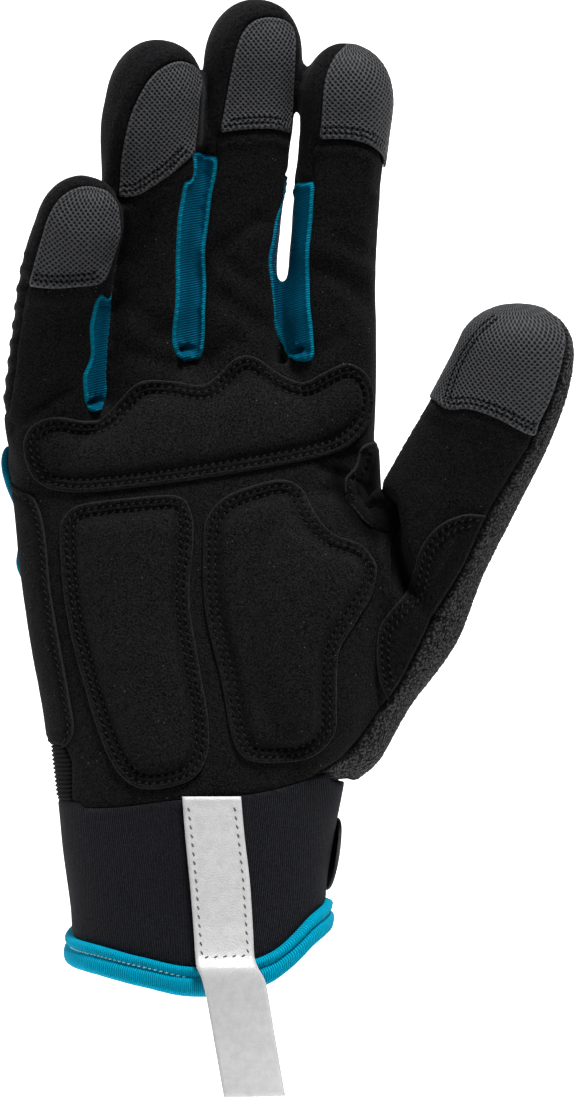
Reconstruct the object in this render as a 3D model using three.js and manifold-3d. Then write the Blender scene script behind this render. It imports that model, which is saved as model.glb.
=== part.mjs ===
import * as THREE from 'three';
import { mergeVertices } from 'three/addons/utils/BufferGeometryUtils.js';
import Module from 'manifold-3d';

// A work glove for the right hand in the form it has when worn.
// Palm towards -Y, fingers towards +Z, thumb towards +X, lengths in millimetres.
// The origin is the middle of the wrist opening.

const wasm = await Module();
wasm.setup();

// Driving dimensions
const seamGap = 0.3; // clearance between sewn pieces
const facetAllowance = 0.15; // more clearance where a piece lies on a faceted surface
const wall = 1.6; // suede or knit with its lining
const patchThickness = 1.1; // suede patch sewn on the shell
const tipPatchThickness = 0.9; // mesh patch on a fingertip
const padFlange = 1.2; // stitched edge of a padded overlay
const padCrown = 2.9; // middle of a padded overlay
const padMargin = 4.2; // width of the stitched edge
const strapThickness = 1.8; // hook layer and loop layer closed on each other
const tabThickness = 1.5;
const pipingRadius = 1.1;
const sidePatchBack = 11.2; // the side patch wraps round to here
const squareness = 2.35; // 2 is an ellipse, more is a fuller section
const outerSides = { hand: 26, finger: 12, thumb: 12 }; // faces round each tube
const liningSides = { hand: 16, finger: 8, thumb: 8 };
const webTop = 143.4; // height of the webs between index, middle and ring finger
const littleDrop = 13; // how much lower the web beside the little finger lies
const webDepth = 2.6; // height of each gusset's fold over its web
const tipHood = 5; // the knit shows this far below each fingertip
const elasticTop = 46; // the ribbed elastic beside the wrist, up from the cuff
const elasticBack = 12;
const belowHem = 12; // the lining's solid runs out of the wrist opening
const thumbSpan = 40; // more than the thumb's width
const far = 90; // beyond everything, for cutting blocks

// Cuff and hand from the hem up.
// front and back are the depths on each side of the centre,
// hem is the share of the hem's dip and web the share of the little finger's lower web.
const handRows = [
  { x: 0.2, y: 0.2, z: 2.0, width: 64.8, front: 23.6, back: 23.6, hem: 1.0, web: 0 },
  { x: 0.1, y: 1.2, z: 8.0, width: 65.4, front: 23.0, back: 23.2, hem: 0.7, web: 0 },
  { x: 0.0, y: 2.4, z: 20.0, width: 69.2, front: 22.2, back: 22.6, hem: 0.25, web: 0 },
  { x: 0.3, y: 3.6, z: 32.0, width: 72.6, front: 21.4, back: 21.8, hem: 0, web: 0 },
  { x: 0.7, y: 5.0, z: 46.0, width: 76.6, front: 22.0, back: 20.6, hem: 0, web: 0 },
  { x: 1.3, y: 6.4, z: 61.0, width: 82.8, front: 21.4, back: 19.0, hem: 0, web: 0 },
  { x: 1.3, y: 7.6, z: 76.0, width: 88.0, front: 20.2, back: 17.9, hem: 0, web: 0 },
  { x: 0.7, y: 8.6, z: 92.0, width: 91.2, front: 18.8, back: 17.0, hem: 0, web: 0 },
  { x: -0.2, y: 9.4, z: 107.0, width: 92.4, front: 17.6, back: 16.2, hem: 0, web: 0 },
  { x: -1.8, y: 9.9, z: 121.0, width: 94.4, front: 16.0, back: 14.8, hem: 0, web: 0.35 },
  { x: -2.2, y: 10.0, z: 133.0, width: 92.2, front: 13.4, back: 13.0, hem: 0, web: 0.75 },
  { x: -1.8, y: 9.8, z: 143.4, width: 87.0, front: 9.0, back: 9.0, hem: 0, web: 1.0 },
];

// Dip of the hem round the wrist: turn in degrees from the thumb side over the palm side
const hemRows = [
  { turn: 0, z: 5.1 },
  { turn: 30, z: 1.6 },
  { turn: 60, z: -7.4 },
  { turn: 88, z: -10.6 },
  { turn: 112, z: -8.2 },
  { turn: 140, z: -5.4 },
  { turn: 180, z: -3.3 },
  { turn: 225, z: 1.0 },
  { turn: 270, z: 4.0 },
  { turn: 315, z: 5.6 },
];

// Fingers from the root up: left and right are the seams of the palm-side strip, measured from x
const fingers = {
  little: {
    rows: [
      { x: -35.6, y: 9.0, z: 117.0, width: 23.6, front: 11.6, back: 11.4, left: 40, right: 7.5 },
      { x: -37.0, y: 6.6, z: 130.0, width: 25.4, front: 11.2, back: 11.0, left: 40, right: 7.5 },
      { x: -36.2, y: 2.4, z: 143.0, width: 24.0, front: 10.4, back: 10.1, left: 40, right: 7.7 },
      { x: -34.3, y: -3.8, z: 157.5, width: 24.0, front: 9.9, back: 9.5, left: 40, right: 8.3 },
      { x: -32.0, y: -10.4, z: 169.6, width: 23.2, front: 9.7, back: 9.3, left: 9.4, right: 8.0 },
      { x: -29.9, y: -13.8, z: 176.4, width: 22.4, front: 9.5, back: 9.1, left: 8.6, right: 7.4 },
    ],
    tip: { x: -27.2, y: -19.0, z: 189.4 },
    gussetTop: 160,
  },
  ring: {
    rows: [
      { x: -12.4, y: 10.2, z: 122.0, width: 24.4, front: 12.4, back: 11.8, left: 9.2, right: 7.4 },
      { x: -12.7, y: 9.2, z: 138.0, width: 23.4, front: 11.5, back: 11.1, left: 9.0, right: 7.1 },
      { x: -12.7, y: 5.8, z: 157.5, width: 22.2, front: 10.9, back: 10.3, left: 8.8, right: 7.1 },
      { x: -12.7, y: 2.0, z: 174.5, width: 22.2, front: 10.5, back: 9.9, left: 8.8, right: 7.4 },
      { x: -11.8, y: -6.2, z: 199.4, width: 26.0, front: 10.3, back: 9.6, left: 9.0, right: 10.0 },
      { x: -10.7, y: -9.2, z: 210.0, width: 25.0, front: 10.0, back: 9.4, left: 8.0, right: 10.0 },
    ],
    tip: { x: -7.8, y: -13.4, z: 224.4 },
    gussetTop: 195,
  },
  middle: {
    rows: [
      { x: 9.8, y: 10.6, z: 122.0, width: 24.4, front: 12.8, back: 12.0, left: 8.6, right: 9.0 },
      { x: 9.7, y: 10.2, z: 138.0, width: 23.2, front: 11.8, back: 11.2, left: 8.3, right: 8.9 },
      { x: 9.6, y: 8.4, z: 157.5, width: 21.7, front: 11.0, back: 10.4, left: 8.0, right: 8.6 },
      { x: 9.9, y: 6.0, z: 174.5, width: 21.8, front: 10.6, back: 10.1, left: 8.0, right: 8.6 },
      { x: 12.8, y: -0.6, z: 207.0, width: 24.6, front: 10.2, back: 9.7, left: 8.6, right: 9.8 },
      { x: 14.0, y: -3.9, z: 220.2, width: 25.2, front: 10.0, back: 9.5, left: 8.0, right: 9.6 },
    ],
    tip: { x: 16.6, y: -8.0, z: 235.2 },
    gussetTop: 192,
  },
  index: {
    rows: [
      { x: 33.2, y: 10.0, z: 122.0, width: 23.4, front: 12.2, back: 11.8, left: 7.2, right: 40 },
      { x: 33.9, y: 9.4, z: 138.0, width: 23.2, front: 11.4, back: 11.1, left: 6.4, right: 40 },
      { x: 33.4, y: 6.4, z: 163.5, width: 24.2, front: 10.8, back: 10.3, left: 6.2, right: 40 },
      { x: 34.7, y: 1.8, z: 187.0, width: 23.0, front: 10.4, back: 9.9, left: 8.0, right: 40 },
      { x: 36.0, y: -0.8, z: 199.0, width: 22.4, front: 10.1, back: 9.6, left: 8.4, right: 40 },
      { x: 37.0, y: -3.6, z: 209.8, width: 22.8, front: 9.9, back: 9.4, left: 8.0, right: 40 },
    ],
    tip: { x: 38.4, y: -7.6, z: 224.2 },
    gussetTop: 188,
  },
};

// Thumb from its root in the palm's heel
const thumb = {
  rows: [
    { x: 31.0, y: 6.4, z: 40.0, width: 20.0, front: 10.0, back: 9.0 },
    { x: 33.6, y: 6.2, z: 47.0, width: 27.4, front: 14.0, back: 13.6 },
    { x: 40.4, y: 5.2, z: 63.0, width: 31.6, front: 15.0, back: 15.0 },
    { x: 49.0, y: 3.4, z: 80.0, width: 34.8, front: 14.6, back: 15.0 },
    { x: 57.6, y: 0.0, z: 97.0, width: 33.8, front: 14.0, back: 14.0 },
    { x: 66.8, y: -5.0, z: 114.4, width: 33.0, front: 13.4, back: 13.2 },
    { x: 74.0, y: -9.6, z: 128.0, width: 32.0, front: 12.8, back: 12.6 },
    { x: 78.8, y: -12.8, z: 138.6, width: 30.6, front: 12.4, back: 12.2 },
    { x: 80.7, y: -14.4, z: 145.4, width: 29.2, front: 12.0, back: 11.8 },
  ],
  tip: { x: 80.4, y: -16.6, z: 157.6 },
};

// Mound of the thumb's ball under the palm, from the wrist up
const thumbMound = {
  rows: [
    { x: 22.0, y: 4.0, z: 42.0, width: 30.0, front: 17.4, back: 14.0 },
    { x: 26.0, y: 3.2, z: 57.0, width: 40.0, front: 19.6, back: 14.0 },
    { x: 28.6, y: 3.0, z: 72.0, width: 42.4, front: 19.4, back: 14.0 },
    { x: 30.2, y: 3.6, z: 87.0, width: 40.2, front: 18.2, back: 14.0 },
    { x: 30.8, y: 5.0, z: 98.0, width: 35.0, front: 15.8, back: 13.0 },
  ],
  tip: { x: 31.6, y: 7.0, z: 112.0 },
};

// Outlines on the palm side as [x, z], rounded through their points unless they are straight
const outlines = {
  knuckle: [
    [-44, 123], [-41.5, 127.5], [-36, 129.5], [-29, 128.5], [-23.5, 129.5], [-19.5, 134],
    [-15, 138.5], [-7, 138.8], [0.5, 137.6], [4.5, 140], [10, 145.6], [15, 145.8], [22, 140.6],
    [28, 139], [33, 142.2], [38.5, 144], [43, 140.6], [44, 134], [42.5, 127], [37, 121.4],
    [26, 118], [0, 113.5], [-17.5, 111.2], [-30, 110.2], [-38, 111.4], [-42.5, 115.8],
  ],
  heel: [
    [-34.8, 99], [-33.4, 104.4], [-29, 107.2], [-16, 108.8], [-5, 109.2], [-1.6, 105], [-1, 98],
    [-2, 83], [0.4, 67], [2.8, 53], [2.6, 44], [-1.5, 37.6], [-12, 35.2], [-18.5, 38],
    [-23.5, 46.5], [-28.6, 62], [-33, 80],
  ],
  thumbBall: [
    [1.4, 97], [2.6, 104], [7, 109], [14.5, 112], [21.5, 113.4], [26.4, 111], [30, 104.4],
    [34.5, 99.4], [41, 96.8], [45.4, 92], [44.4, 85.4], [39.6, 77], [35.6, 69.4], [35, 58],
    [34.4, 49.4], [29, 43.6], [20, 41.8], [12, 43], [8.6, 49], [6.2, 62], [2, 80],
  ],
  side: [
    [-60, 112], [-44.5, 110.4], [-40.5, 106.6], [-38.6, 98], [-37.4, 86], [-35, 72],
    [-32.4, 58], [-31.2, 50], [-32.8, 46.2], [-38, 44.6], [-60, 44.6],
  ],
  thumbCrotch: [
    [40.8, 121.6], [44.6, 123.4], [48, 121], [47.4, 112], [47, 103], [44.6, 101.4],
    [40.6, 106], [37.2, 111.6], [37.4, 114.6],
  ],
  thumbBase: [
    [71.2, 104.4], [66, 104.8], [60.6, 102.6], [56.4, 98], [54.6, 92.4], [54.2, 86], [51.4, 82],
    [47, 78], [44.8, 71.6], [45, 64], [46.8, 57.6], [50.4, 62], [55.2, 71], [60.4, 81.4],
    [66, 91.4],
  ],
  tips: {
    little: [
      [-28.4, 187.6], [-33.5, 185], [-38, 180], [-40.8, 173], [-43, 163.8], [-36, 162.9],
      [-30, 163.6], [-24, 165.2], [-21.8, 171], [-20.6, 178], [-23, 184.6],
    ],
    ring: [
      [-5.6, 220], [-10, 218.4], [-14, 214], [-17, 207], [-19.2, 196], [-19.6, 186.4],
      [-14.4, 186.8], [-8.4, 190.6], [-2.2, 196.2], [-0.8, 205], [0.6, 214], [-1.4, 218.6],
    ],
    middle: [
      [18, 230.4], [13.6, 229], [10.6, 224], [8, 215], [6, 201.9], [11, 202.5], [18, 203],
      [23.2, 201.9], [24, 213], [24.8, 226], [22, 230],
    ],
    index: [
      [38.8, 224], [35, 221.4], [32.6, 215], [31.2, 208], [30.6, 200], [37, 200], [43, 198.2],
      [46.2, 194.4], [47, 189.2], [54, 189.2], [54, 214], [45.8, 222.6],
    ],
    thumb: [
      [61, 131.8], [67.5, 131.2], [73.5, 130.2], [79, 127.6], [84.6, 124.8], [89, 131],
      [91.6, 138], [92.8, 145], [96, 153], [94, 168], [76, 168], [66, 154], [61.4, 140],
    ],
  },
};

// Seams of the shell on the palm side as [x, z]
const terrySeam = [
  [95, 157], [92.8, 150], [91.8, 138], [86.6, 126], [79.4, 115.6], [72, 104.6], [66.8, 91.6],
  [61.4, 81.4], [56, 71], [51.4, 61.8], [46.6, 55.4], [41.4, 48], [36.4, 42.4], [30, 38.6],
];
const creaseSeam = [
  [46.6, 118], [46.4, 108], [47.8, 98], [49.4, 88], [48, 78], [46, 66], [46, 56],
];
const thumbBackSeam = [[46.4, 116], [46, 104], [44, 88], [40, 70], [35, 52], [30, 38]];
const cuffSeam = [
  [-60, 32.6], [-32, 31.8], [-29, 30.4], [-20, 30.6], [-8, 32.2], [4, 33.2], [14, 34],
  [22, 35.6], [29, 37.6], [33.6, 38.4], [36.4, 36.4], [60, 33],
];

// Pull tab down the cuff's front, over the binding and below it: lift is the distance off the cuff
const tabRows = [
  { x: 3.4, z: 32.6, width: 14.6, lift: 0 },
  { x: 4.2, z: 24.0, width: 14.8, lift: 0 },
  { x: 5.6, z: 12.0, width: 15.4, lift: 0 },
  { x: 6.8, z: 0.0, width: 15.8, lift: 0.3 },
  { x: 7.6, z: -6.0, width: 16.0, lift: 2.6 },
  { x: 8.4, z: -12.0, width: 16.0, lift: 3.0 },
  { x: 9.8, z: -18.5, width: 15.8, lift: 2.0 },
  { x: 11.6, z: -28.0, width: 15.6, lift: 0.8 },
  { x: 14.2, z: -41.8, width: 15.6, lift: 0.2 },
];
const tabSpans = 4;

// Binding section: out is the distance outside the cuff's surface, up the height over the hem line
const bindingSection = [
  { out: -1.6, up: 0.8 },
  { out: 1.0, up: 1.2 },
  { out: 1.9, up: 0.2 },
  { out: 1.1, up: -1.2 },
  { out: 2.0, up: -2.4 },
  { out: 1.8, up: -4.6 },
  { out: 0.6, up: -6.0 },
  { out: -1.4, up: -5.4 },
];

// Side piping behind the little finger's edge, from the knuckles down: behind the middle of the side
const pipingRows = [
  { z: 122.0, behind: 5.6 },
  { z: 116.0, behind: 5.4 },
  { z: 106.0, behind: 5.4 },
  { z: 94.0, behind: 4.6 },
  { z: 84.0, behind: 4.6 },
];

const strapHeight = { low: 8.4, high: 27.0 };
const strapEnds = { thumbSide: -4, littleSide: 206 }; // degrees, turned round the back

// Materials
const material = (color, roughness) =>
  new THREE.MeshStandardMaterial({ color, roughness, metalness: 0 });
const suede = material(0x232224, 0.95);
const padSuede = material(0x2b2a2c, 0.95);
const knit = material(0x1a1b1e, 0.9);
const neoprene = material(0x1e2027, 0.9);
const ribbedTeal = material(0x1b8792, 0.45);
const terry = material(0x3a3b3c, 1.0);
const gripMesh = material(0x6d6f70, 0.7);
const elasticTeal = material(0x1f8f96, 0.6);
const reflective = material(0xb9bcbd, 0.4);
const strapTape = material(0x17181a, 0.85);

// Sections, rings and lofts

const radians = THREE.MathUtils.degToRad;

// Point of a rounded section: across and depth from the centre, with the palm side at angle 90
function sectionPoint(angle, halfWidth, front, back) {
  const power = 2 / squareness;
  const across = Math.sign(Math.cos(angle)) * Math.abs(Math.cos(angle)) ** power;
  const depth = Math.sign(Math.sin(angle)) * Math.abs(Math.sin(angle)) ** power;
  return { across: halfWidth * across, depth: -(depth > 0 ? front : back) * depth };
}

function hemDip(angle) {
  const turn = THREE.MathUtils.euclideanModulo(THREE.MathUtils.radToDeg(angle), 360);
  const count = hemRows.length;
  const after = hemRows.findIndex((row) => row.turn > turn);
  const i = (after === -1 ? count : after) - 1;
  const at = (k) => hemRows[THREE.MathUtils.euclideanModulo(i + k, count)];
  const end = i + 1 < count ? at(1).turn : 360;
  const t = (turn - at(0).turn) / (end - at(0).turn);
  const slopeIn = (at(1).z - at(-1).z) / 2;
  const slopeOut = (at(2).z - at(0).z) / 2;
  const rise = at(1).z - at(0).z;
  const square = 3 * rise - 2 * slopeIn - slopeOut;
  const cube = slopeIn + slopeOut - 2 * rise;
  return at(0).z + t * (slopeIn + t * (square + t * cube));
}

function webDrop(x) {
  return littleDrop * (1 - THREE.MathUtils.smoothstep(x, -28, -6));
}

// Closed geometry through rings of equally many points, the ends closed straight across
function loft(rings) {
  const sides = rings[0].length;
  const positions = rings.flat().flatMap((point) => [point.x, point.y, point.z]);
  const index = [];
  for (let r = 0; r + 1 < rings.length; r += 1) {
    for (let s = 0; s < sides; s += 1) {
      const a = r * sides + s;
      const b = r * sides + ((s + 1) % sides);
      index.push(a, b, b + sides, a, b + sides, a + sides);
    }
  }
  const cap = (start, flip) => {
    for (let s = 0; s < sides / 2 - 0.5; s += 1) {
      const a = start + s;
      const b = start + s + 1;
      const c = start + ((sides - s) % sides);
      const d = start + sides - s - 1;
      const faces = s === 0 ? [[a, b, d]] : [[a, b, d], [a, d, c]];
      faces
        .filter((face) => new Set(face).size === 3)
        .forEach(([p, q, r]) => index.push(...(flip ? [p, r, q] : [p, q, r])));
    }
  };
  cap(0, true);
  cap((rings.length - 1) * sides, false);
  const geometry = new THREE.BufferGeometry();
  geometry.setAttribute('position', new THREE.Float32BufferAttribute(positions, 3));
  geometry.setIndex(index);
  return geometry;
}

function solid(geometry) {
  const plain = geometry.clone();
  plain.deleteAttribute('normal');
  plain.deleteAttribute('uv');
  const merged = mergeVertices(plain, 1e-5);
  return new wasm.Manifold(
    new wasm.Mesh({
      numProp: 3,
      vertProperties: new Float32Array(merged.attributes.position.array),
      triVerts: new Uint32Array(merged.index.array),
    }),
  );
}

function unite(solids) {
  return solids.reduce((whole, next) => whole.add(next));
}

function cutAway(whole, solids) {
  return solids.reduce((rest, next) => rest.subtract(next), whole);
}

// Hand with cuff

function handRing(row, sides, grow, drop = 0) {
  const ring = [];
  for (let s = 0; s < sides; s += 1) {
    const angle = (-2 * Math.PI * s) / sides;
    const point = sectionPoint(angle, row.width / 2 + grow, row.front + grow, row.back + grow);
    const x = row.x + point.across;
    const z = row.z + row.hem * hemDip(angle) - row.web * webDrop(x) - drop;
    ring.push(new THREE.Vector3(x, row.y + point.depth, z));
  }
  return ring;
}

// Every second row is enough for the lining
function coarse(rows) {
  return rows.filter((row, i) => i % 2 === 0 || i === rows.length - 1);
}

function handTube(sides, grow, below = 0) {
  const rows = (grow < 0 ? coarse(handRows) : handRows).map((row) => ({ ...row }));
  rows[rows.length - 1].z += grow;
  const rings = rows.map((row) => handRing(row, sides, grow));
  if (below > 0) rings.unshift(handRing(rows[0], sides, grow, below));
  return solid(loft(rings));
}

// Fingers and thumb

function frameAt(centres, i) {
  const before = centres[Math.max(i - 1, 0)];
  const after = centres[Math.min(i + 1, centres.length - 1)];
  const along = after.clone().sub(before).normalize();
  const across = new THREE.Vector3(0, 1, 0).cross(along).normalize();
  const depth = along.clone().cross(across);
  return { along, across, depth };
}

// Stations up a digit, with the round tip worked out from its last row to its tip
const tipSteps = [0.42, 0.74, 0.94];
const liningTipSteps = [0.6, 0.92];
const tipRoundness = 2.1;

function digitStations(digit, grow) {
  const last = digit.rows[digit.rows.length - 1];
  const base = new THREE.Vector3(last.x, last.y, last.z);
  const tip = new THREE.Vector3(digit.tip.x, digit.tip.y, digit.tip.z);
  const end = tip.clone().addScaledVector(tip.clone().sub(base).normalize(), grow);
  const rows = grow < 0 ? coarse(digit.rows) : digit.rows;
  const stations = rows.map((row) => ({
    centre: new THREE.Vector3(row.x, row.y, row.z),
    halfWidth: row.width / 2 + grow,
    front: row.front + grow,
    back: row.back + grow,
  }));
  const full = stations[stations.length - 1];
  for (const step of grow < 0 ? liningTipSteps : tipSteps) {
    const size = (1 - step ** tipRoundness) ** (1 / tipRoundness);
    stations.push({
      centre: base.clone().lerp(end, step),
      halfWidth: full.halfWidth * size,
      front: full.front * size,
      back: full.back * size,
    });
  }
  return { stations, end };
}

function digitTube(digit, sides, grow) {
  const { stations } = digitStations(digit, grow);
  const centres = stations.map((station) => station.centre);
  const rings = stations.map((station, i) => {
    const { across, depth } = frameAt(centres, i);
    const ring = [];
    for (let s = 0; s < sides; s += 1) {
      const angle = (-2 * Math.PI * s) / sides;
      const point = sectionPoint(angle, station.halfWidth, station.front, station.back);
      ring.push(
        station.centre.clone().addScaledVector(across, point.across).addScaledVector(depth, point.depth),
      );
    }
    return ring;
  });
  return solid(loft(rings));
}

function hull(sides, grow, below = 0) {
  return unite([
    handTube(sides.hand, grow, below),
    ...Object.values(fingers).map((finger) => digitTube(finger, sides.finger, grow)),
    digitTube(thumb, sides.thumb, grow),
    digitTube(thumbMound, sides.thumb, grow),
  ]);
}

// Cutting blocks

function curve(points, count, closed = true) {
  const through = points.map(([x, z]) => new THREE.Vector3(x, 0, z));
  const line = new THREE.CatmullRomCurve3(through, closed, 'centripetal');
  const spaced = line.getSpacedPoints(count);
  return (closed ? spaced.slice(0, -1) : spaced).map((point) => [point.x, point.z]);
}

// Outline moved outwards by a distance, or inwards by a negative one
function offset(points, distance) {
  const area = THREE.ShapeUtils.area(points.map(([x, z]) => new THREE.Vector2(x, z)));
  const side = Math.sign(area) * distance;
  return points.map(([x, z], i) => {
    const [px, pz] = points[(i + points.length - 1) % points.length];
    const [nx, nz] = points[(i + 1) % points.length];
    const length = Math.hypot(nx - px, nz - pz);
    return [x + (side * (nz - pz)) / length, z - (side * (nx - px)) / length];
  });
}

function prism(points, low = -far, high = far) {
  const shape = new THREE.Shape(points.map(([x, z]) => new THREE.Vector2(x, z)));
  const geometry = new THREE.ExtrudeGeometry(shape, { depth: high - low, bevelEnabled: false });
  geometry.rotateX(Math.PI / 2);
  geometry.translate(0, high, 0);
  return solid(geometry);
}

// Block through level rectangles, one for each row
function levelBlock(rows, bounds) {
  const rings = rows.map((row) => {
    const { left, right, near, back } = bounds(row);
    return [
      new THREE.Vector3(right, near, row.z),
      new THREE.Vector3(right, back, row.z),
      new THREE.Vector3(left, back, row.z),
      new THREE.Vector3(left, near, row.z),
    ];
  });
  return solid(loft(rings));
}

function palmSideOfHand(extra) {
  const rows = handRows.slice(3).map((row) => ({ ...row }));
  rows[0].z = -far;
  rows.push({ ...rows[rows.length - 1], z: far + webTop });
  return levelBlock(rows, (row) => ({ left: -far, right: far, near: -far, back: row.y + extra }));
}

// Palm-side strip of a finger between its seams, up to the knit hood of its tip
function palmSideOfFinger(finger, extra) {
  const last = finger.rows[finger.rows.length - 1];
  const hood = (finger.tip.z - tipHood - last.z) / (finger.tip.z - last.z);
  const top = {
    ...last,
    x: THREE.MathUtils.lerp(last.x, finger.tip.x, hood),
    y: THREE.MathUtils.lerp(last.y, finger.tip.y, hood),
    z: finger.tip.z - tipHood + extra,
  };
  return levelBlock([...finger.rows, top], (row) => ({
    left: row.x - Math.min(row.left, row.width) - extra,
    right: row.x + Math.min(row.right, row.width) + extra,
    near: -far,
    back: row.y + extra,
  }));
}

// Side of a finger beyond its seam, where the gusset is
function besideFinger(finger, side, extra) {
  const rows = finger.rows.filter((row) => row.z < finger.gussetTop);
  const next = finger.rows[rows.length];
  const last = rows[rows.length - 1];
  const share = (finger.gussetTop - last.z) / (next.z - last.z);
  const top = Object.fromEntries(
    Object.keys(last).map((key) => [key, THREE.MathUtils.lerp(last[key], next[key], share)]),
  );
  return levelBlock([...rows, { ...top, z: finger.gussetTop + extra }], (row) => {
    const seam = (side > 0 ? row.right : row.left) - extra;
    const rim = row.width / 2 + 0.6 + extra;
    const inner = row.x + side * seam;
    const outer = row.x + side * rim;
    return { left: Math.min(inner, outer), right: Math.max(inner, outer), near: -far, back: far };
  });
}

function palmSideOfThumb(extra) {
  const centres = thumb.rows.map((row) => new THREE.Vector3(row.x, row.y, row.z));
  centres.push(new THREE.Vector3(thumb.tip.x, thumb.tip.y, thumb.tip.z + padMargin));
  const rings = centres.map((centre, i) => {
    const { across, depth } = frameAt(centres, i);
    const corner = (u, v) => centre.clone().addScaledVector(across, u).addScaledVector(depth, v);
    return [
      corner(thumbSpan, -far),
      corner(thumbSpan, extra),
      corner(-thumbSpan, extra),
      corner(-thumbSpan, -far),
    ];
  });
  return solid(loft(rings));
}

// Shell

const shell = hull(outerSides, 0).subtract(hull(liningSides, -wall, belowHem));

const zone = (points, grow) => prism(offset(points, grow));
const cuffOutline = [...curve(cuffSeam, 14, false), [60, -far], [-60, -far]];
const terryOutline = [...curve(terrySeam, 16, false), [30, 30], [60, 24], [120, 60], [120, 158]];
const thumbBackOutline = [
  ...curve(thumbBackSeam, 7, false), [60, 24], [120, 60], [120, 180], [60, 180],
];
const thumbOutline = [...curve(creaseSeam, 8, false), [60, 56], [120, 60], [120, 180], [52, 180]];
const webLine = [-70, -30, -26, -21, -16, -11, -6, 26, 70].map((x) => [x, webTop - webDrop(x)]);
const underLine = (drop) => webLine.map(([x, z]) => [x, z - drop]);

const cuffBlock = (grow) => zone(cuffOutline, grow);
const terryBlock = (grow) =>
  zone(terryOutline, grow).add(zone(thumbBackOutline, grow).subtract(palmSideOfThumb(-grow)));
const aboveWebs = (grow) => zone([...underLine(webDepth), [70, 260], [-70, 260]], grow);
const belowWebs = (grow) =>
  zone([...webLine.slice(0, -1), [51, webTop], [51, 56], [120, 56], [120, -far], [-70, -far]], grow);
const elasticBlock = (grow) =>
  prism(
    offset([[-60, 20], [-32.4, 20], [-32.4, 42], [-34.2, elasticTop], [-60, elasticTop]], grow),
    -far,
    elasticBack + grow,
  );

const pairs = {
  ring_little: [fingers.little, fingers.ring],
  middle_ring: [fingers.ring, fingers.middle],
  index_middle: [fingers.middle, fingers.index],
};
const gussetBlock = ([left, right], grow) =>
  besideFinger(left, 1, grow).add(besideFinger(right, -1, grow)).intersect(aboveWebs(grow));
const gussetBlocks = Object.values(pairs).map((pair) => gussetBlock(pair, seamGap));

const frontBlock = (grow) =>
  unite([
    belowWebs(grow).intersect(palmSideOfHand(grow)),
    zone(thumbOutline, grow).intersect(palmSideOfThumb(grow)),
    ...Object.values(fingers).map((finger) => palmSideOfFinger(finger, grow)),
  ]);

const frontPanels = cutAway(shell.intersect(frontBlock(0)), [
  terryBlock(seamGap),
  cuffBlock(seamGap),
  elasticBlock(seamGap),
  ...gussetBlocks,
]);

// Pieces

function mainBody(whole) {
  const bodies = whole.decompose();
  return bodies.reduce((best, body) => (body.volume() > best.volume() ? body : best));
}

function piece(name, whole, look) {
  const { vertProperties, triVerts } = mainBody(whole).getMesh();
  const geometry = new THREE.BufferGeometry();
  geometry.setAttribute('position', new THREE.BufferAttribute(new Float32Array(vertProperties), 3));
  geometry.setIndex(new THREE.BufferAttribute(new Uint32Array(triVerts), 1));
  geometry.computeVertexNormals();
  const mesh = new THREE.Mesh(geometry, look);
  mesh.name = name;
  return mesh;
}

const palmPanel = piece('palm_panel', frontPanels.subtract(zone(thumbOutline, seamGap)), suede);
const thumbPanel = piece('thumb_panel', frontPanels.intersect(zone(thumbOutline, 0)), suede);
const backPanel = piece(
  'back_panel',
  cutAway(shell, [
    frontBlock(seamGap),
    terryBlock(seamGap),
    cuffBlock(seamGap),
    elasticBlock(seamGap),
    ...gussetBlocks,
  ]),
  knit,
);
const thumbTerry = piece(
  'thumb_terry',
  shell.intersect(terryBlock(0)).subtract(cuffBlock(seamGap)),
  terry,
);
const cuff = piece('cuff', shell.intersect(cuffBlock(0)), neoprene);
const sideElastic = piece(
  'side_elastic',
  shell.intersect(elasticBlock(0)).subtract(cuffBlock(seamGap)),
  strapTape,
);
const gussets = Object.entries(pairs).map(([name, pair]) =>
  piece(`gusset_${name}`, shell.intersect(gussetBlock(pair, 0)), ribbedTeal),
);

// Layers sewn on the shell

const layer = (from, to) => hull(outerSides, seamGap + to).subtract(hull(outerSides, seamGap + from));
const flangeLayer = layer(0, padFlange);
const crownLayer = layer(padFlange / 2, padCrown);
const patchLayer = layer(0, patchThickness);

function pad(name, outline, count) {
  const edge = curve(outline, count);
  const flange = flangeLayer.intersect(prism(edge));
  const crown = crownLayer.intersect(prism(offset(edge, -padMargin)));
  const palmSide = palmSideOfHand(0).add(palmSideOfThumb(0));
  return piece(name, flange.add(crown).intersect(palmSide), padSuede);
}

const pads = [
  pad('knuckle_pad', outlines.knuckle, 28),
  pad('heel_pad', outlines.heel, 16),
  pad('thumb_ball_pad', outlines.thumbBall, 20),
];

const sidePatch = piece(
  'side_patch',
  patchLayer.intersect(prism(curve(outlines.side, 14), -far, sidePatchBack)),
  suede,
);
const crotchPatch = piece(
  'crotch_patch',
  patchLayer.intersect(prism(curve(outlines.thumbCrotch, 10))),
  suede,
);
const thumbBasePatch = piece(
  'thumb_base_patch',
  patchLayer.intersect(prism(curve(outlines.thumbBase, 20))).intersect(palmSideOfThumb(0)),
  suede,
);

function tipPatch(name, digit, sides, palmSide) {
  const inner = digitTube(digit, sides, seamGap);
  const over = digitTube(digit, sides, seamGap + tipPatchThickness).subtract(inner);
  const sheet = over.intersect(prism(curve(outlines.tips[name], 14))).intersect(palmSide);
  return piece(`tip_patch_${name}`, sheet, gripMesh);
}

function palmHalfOfFinger(finger) {
  const rows = [...finger.rows, { ...finger.tip, z: finger.tip.z + tipHood }];
  return levelBlock(rows, (row) => ({ left: -far, right: far, near: -far, back: row.y }));
}

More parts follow.
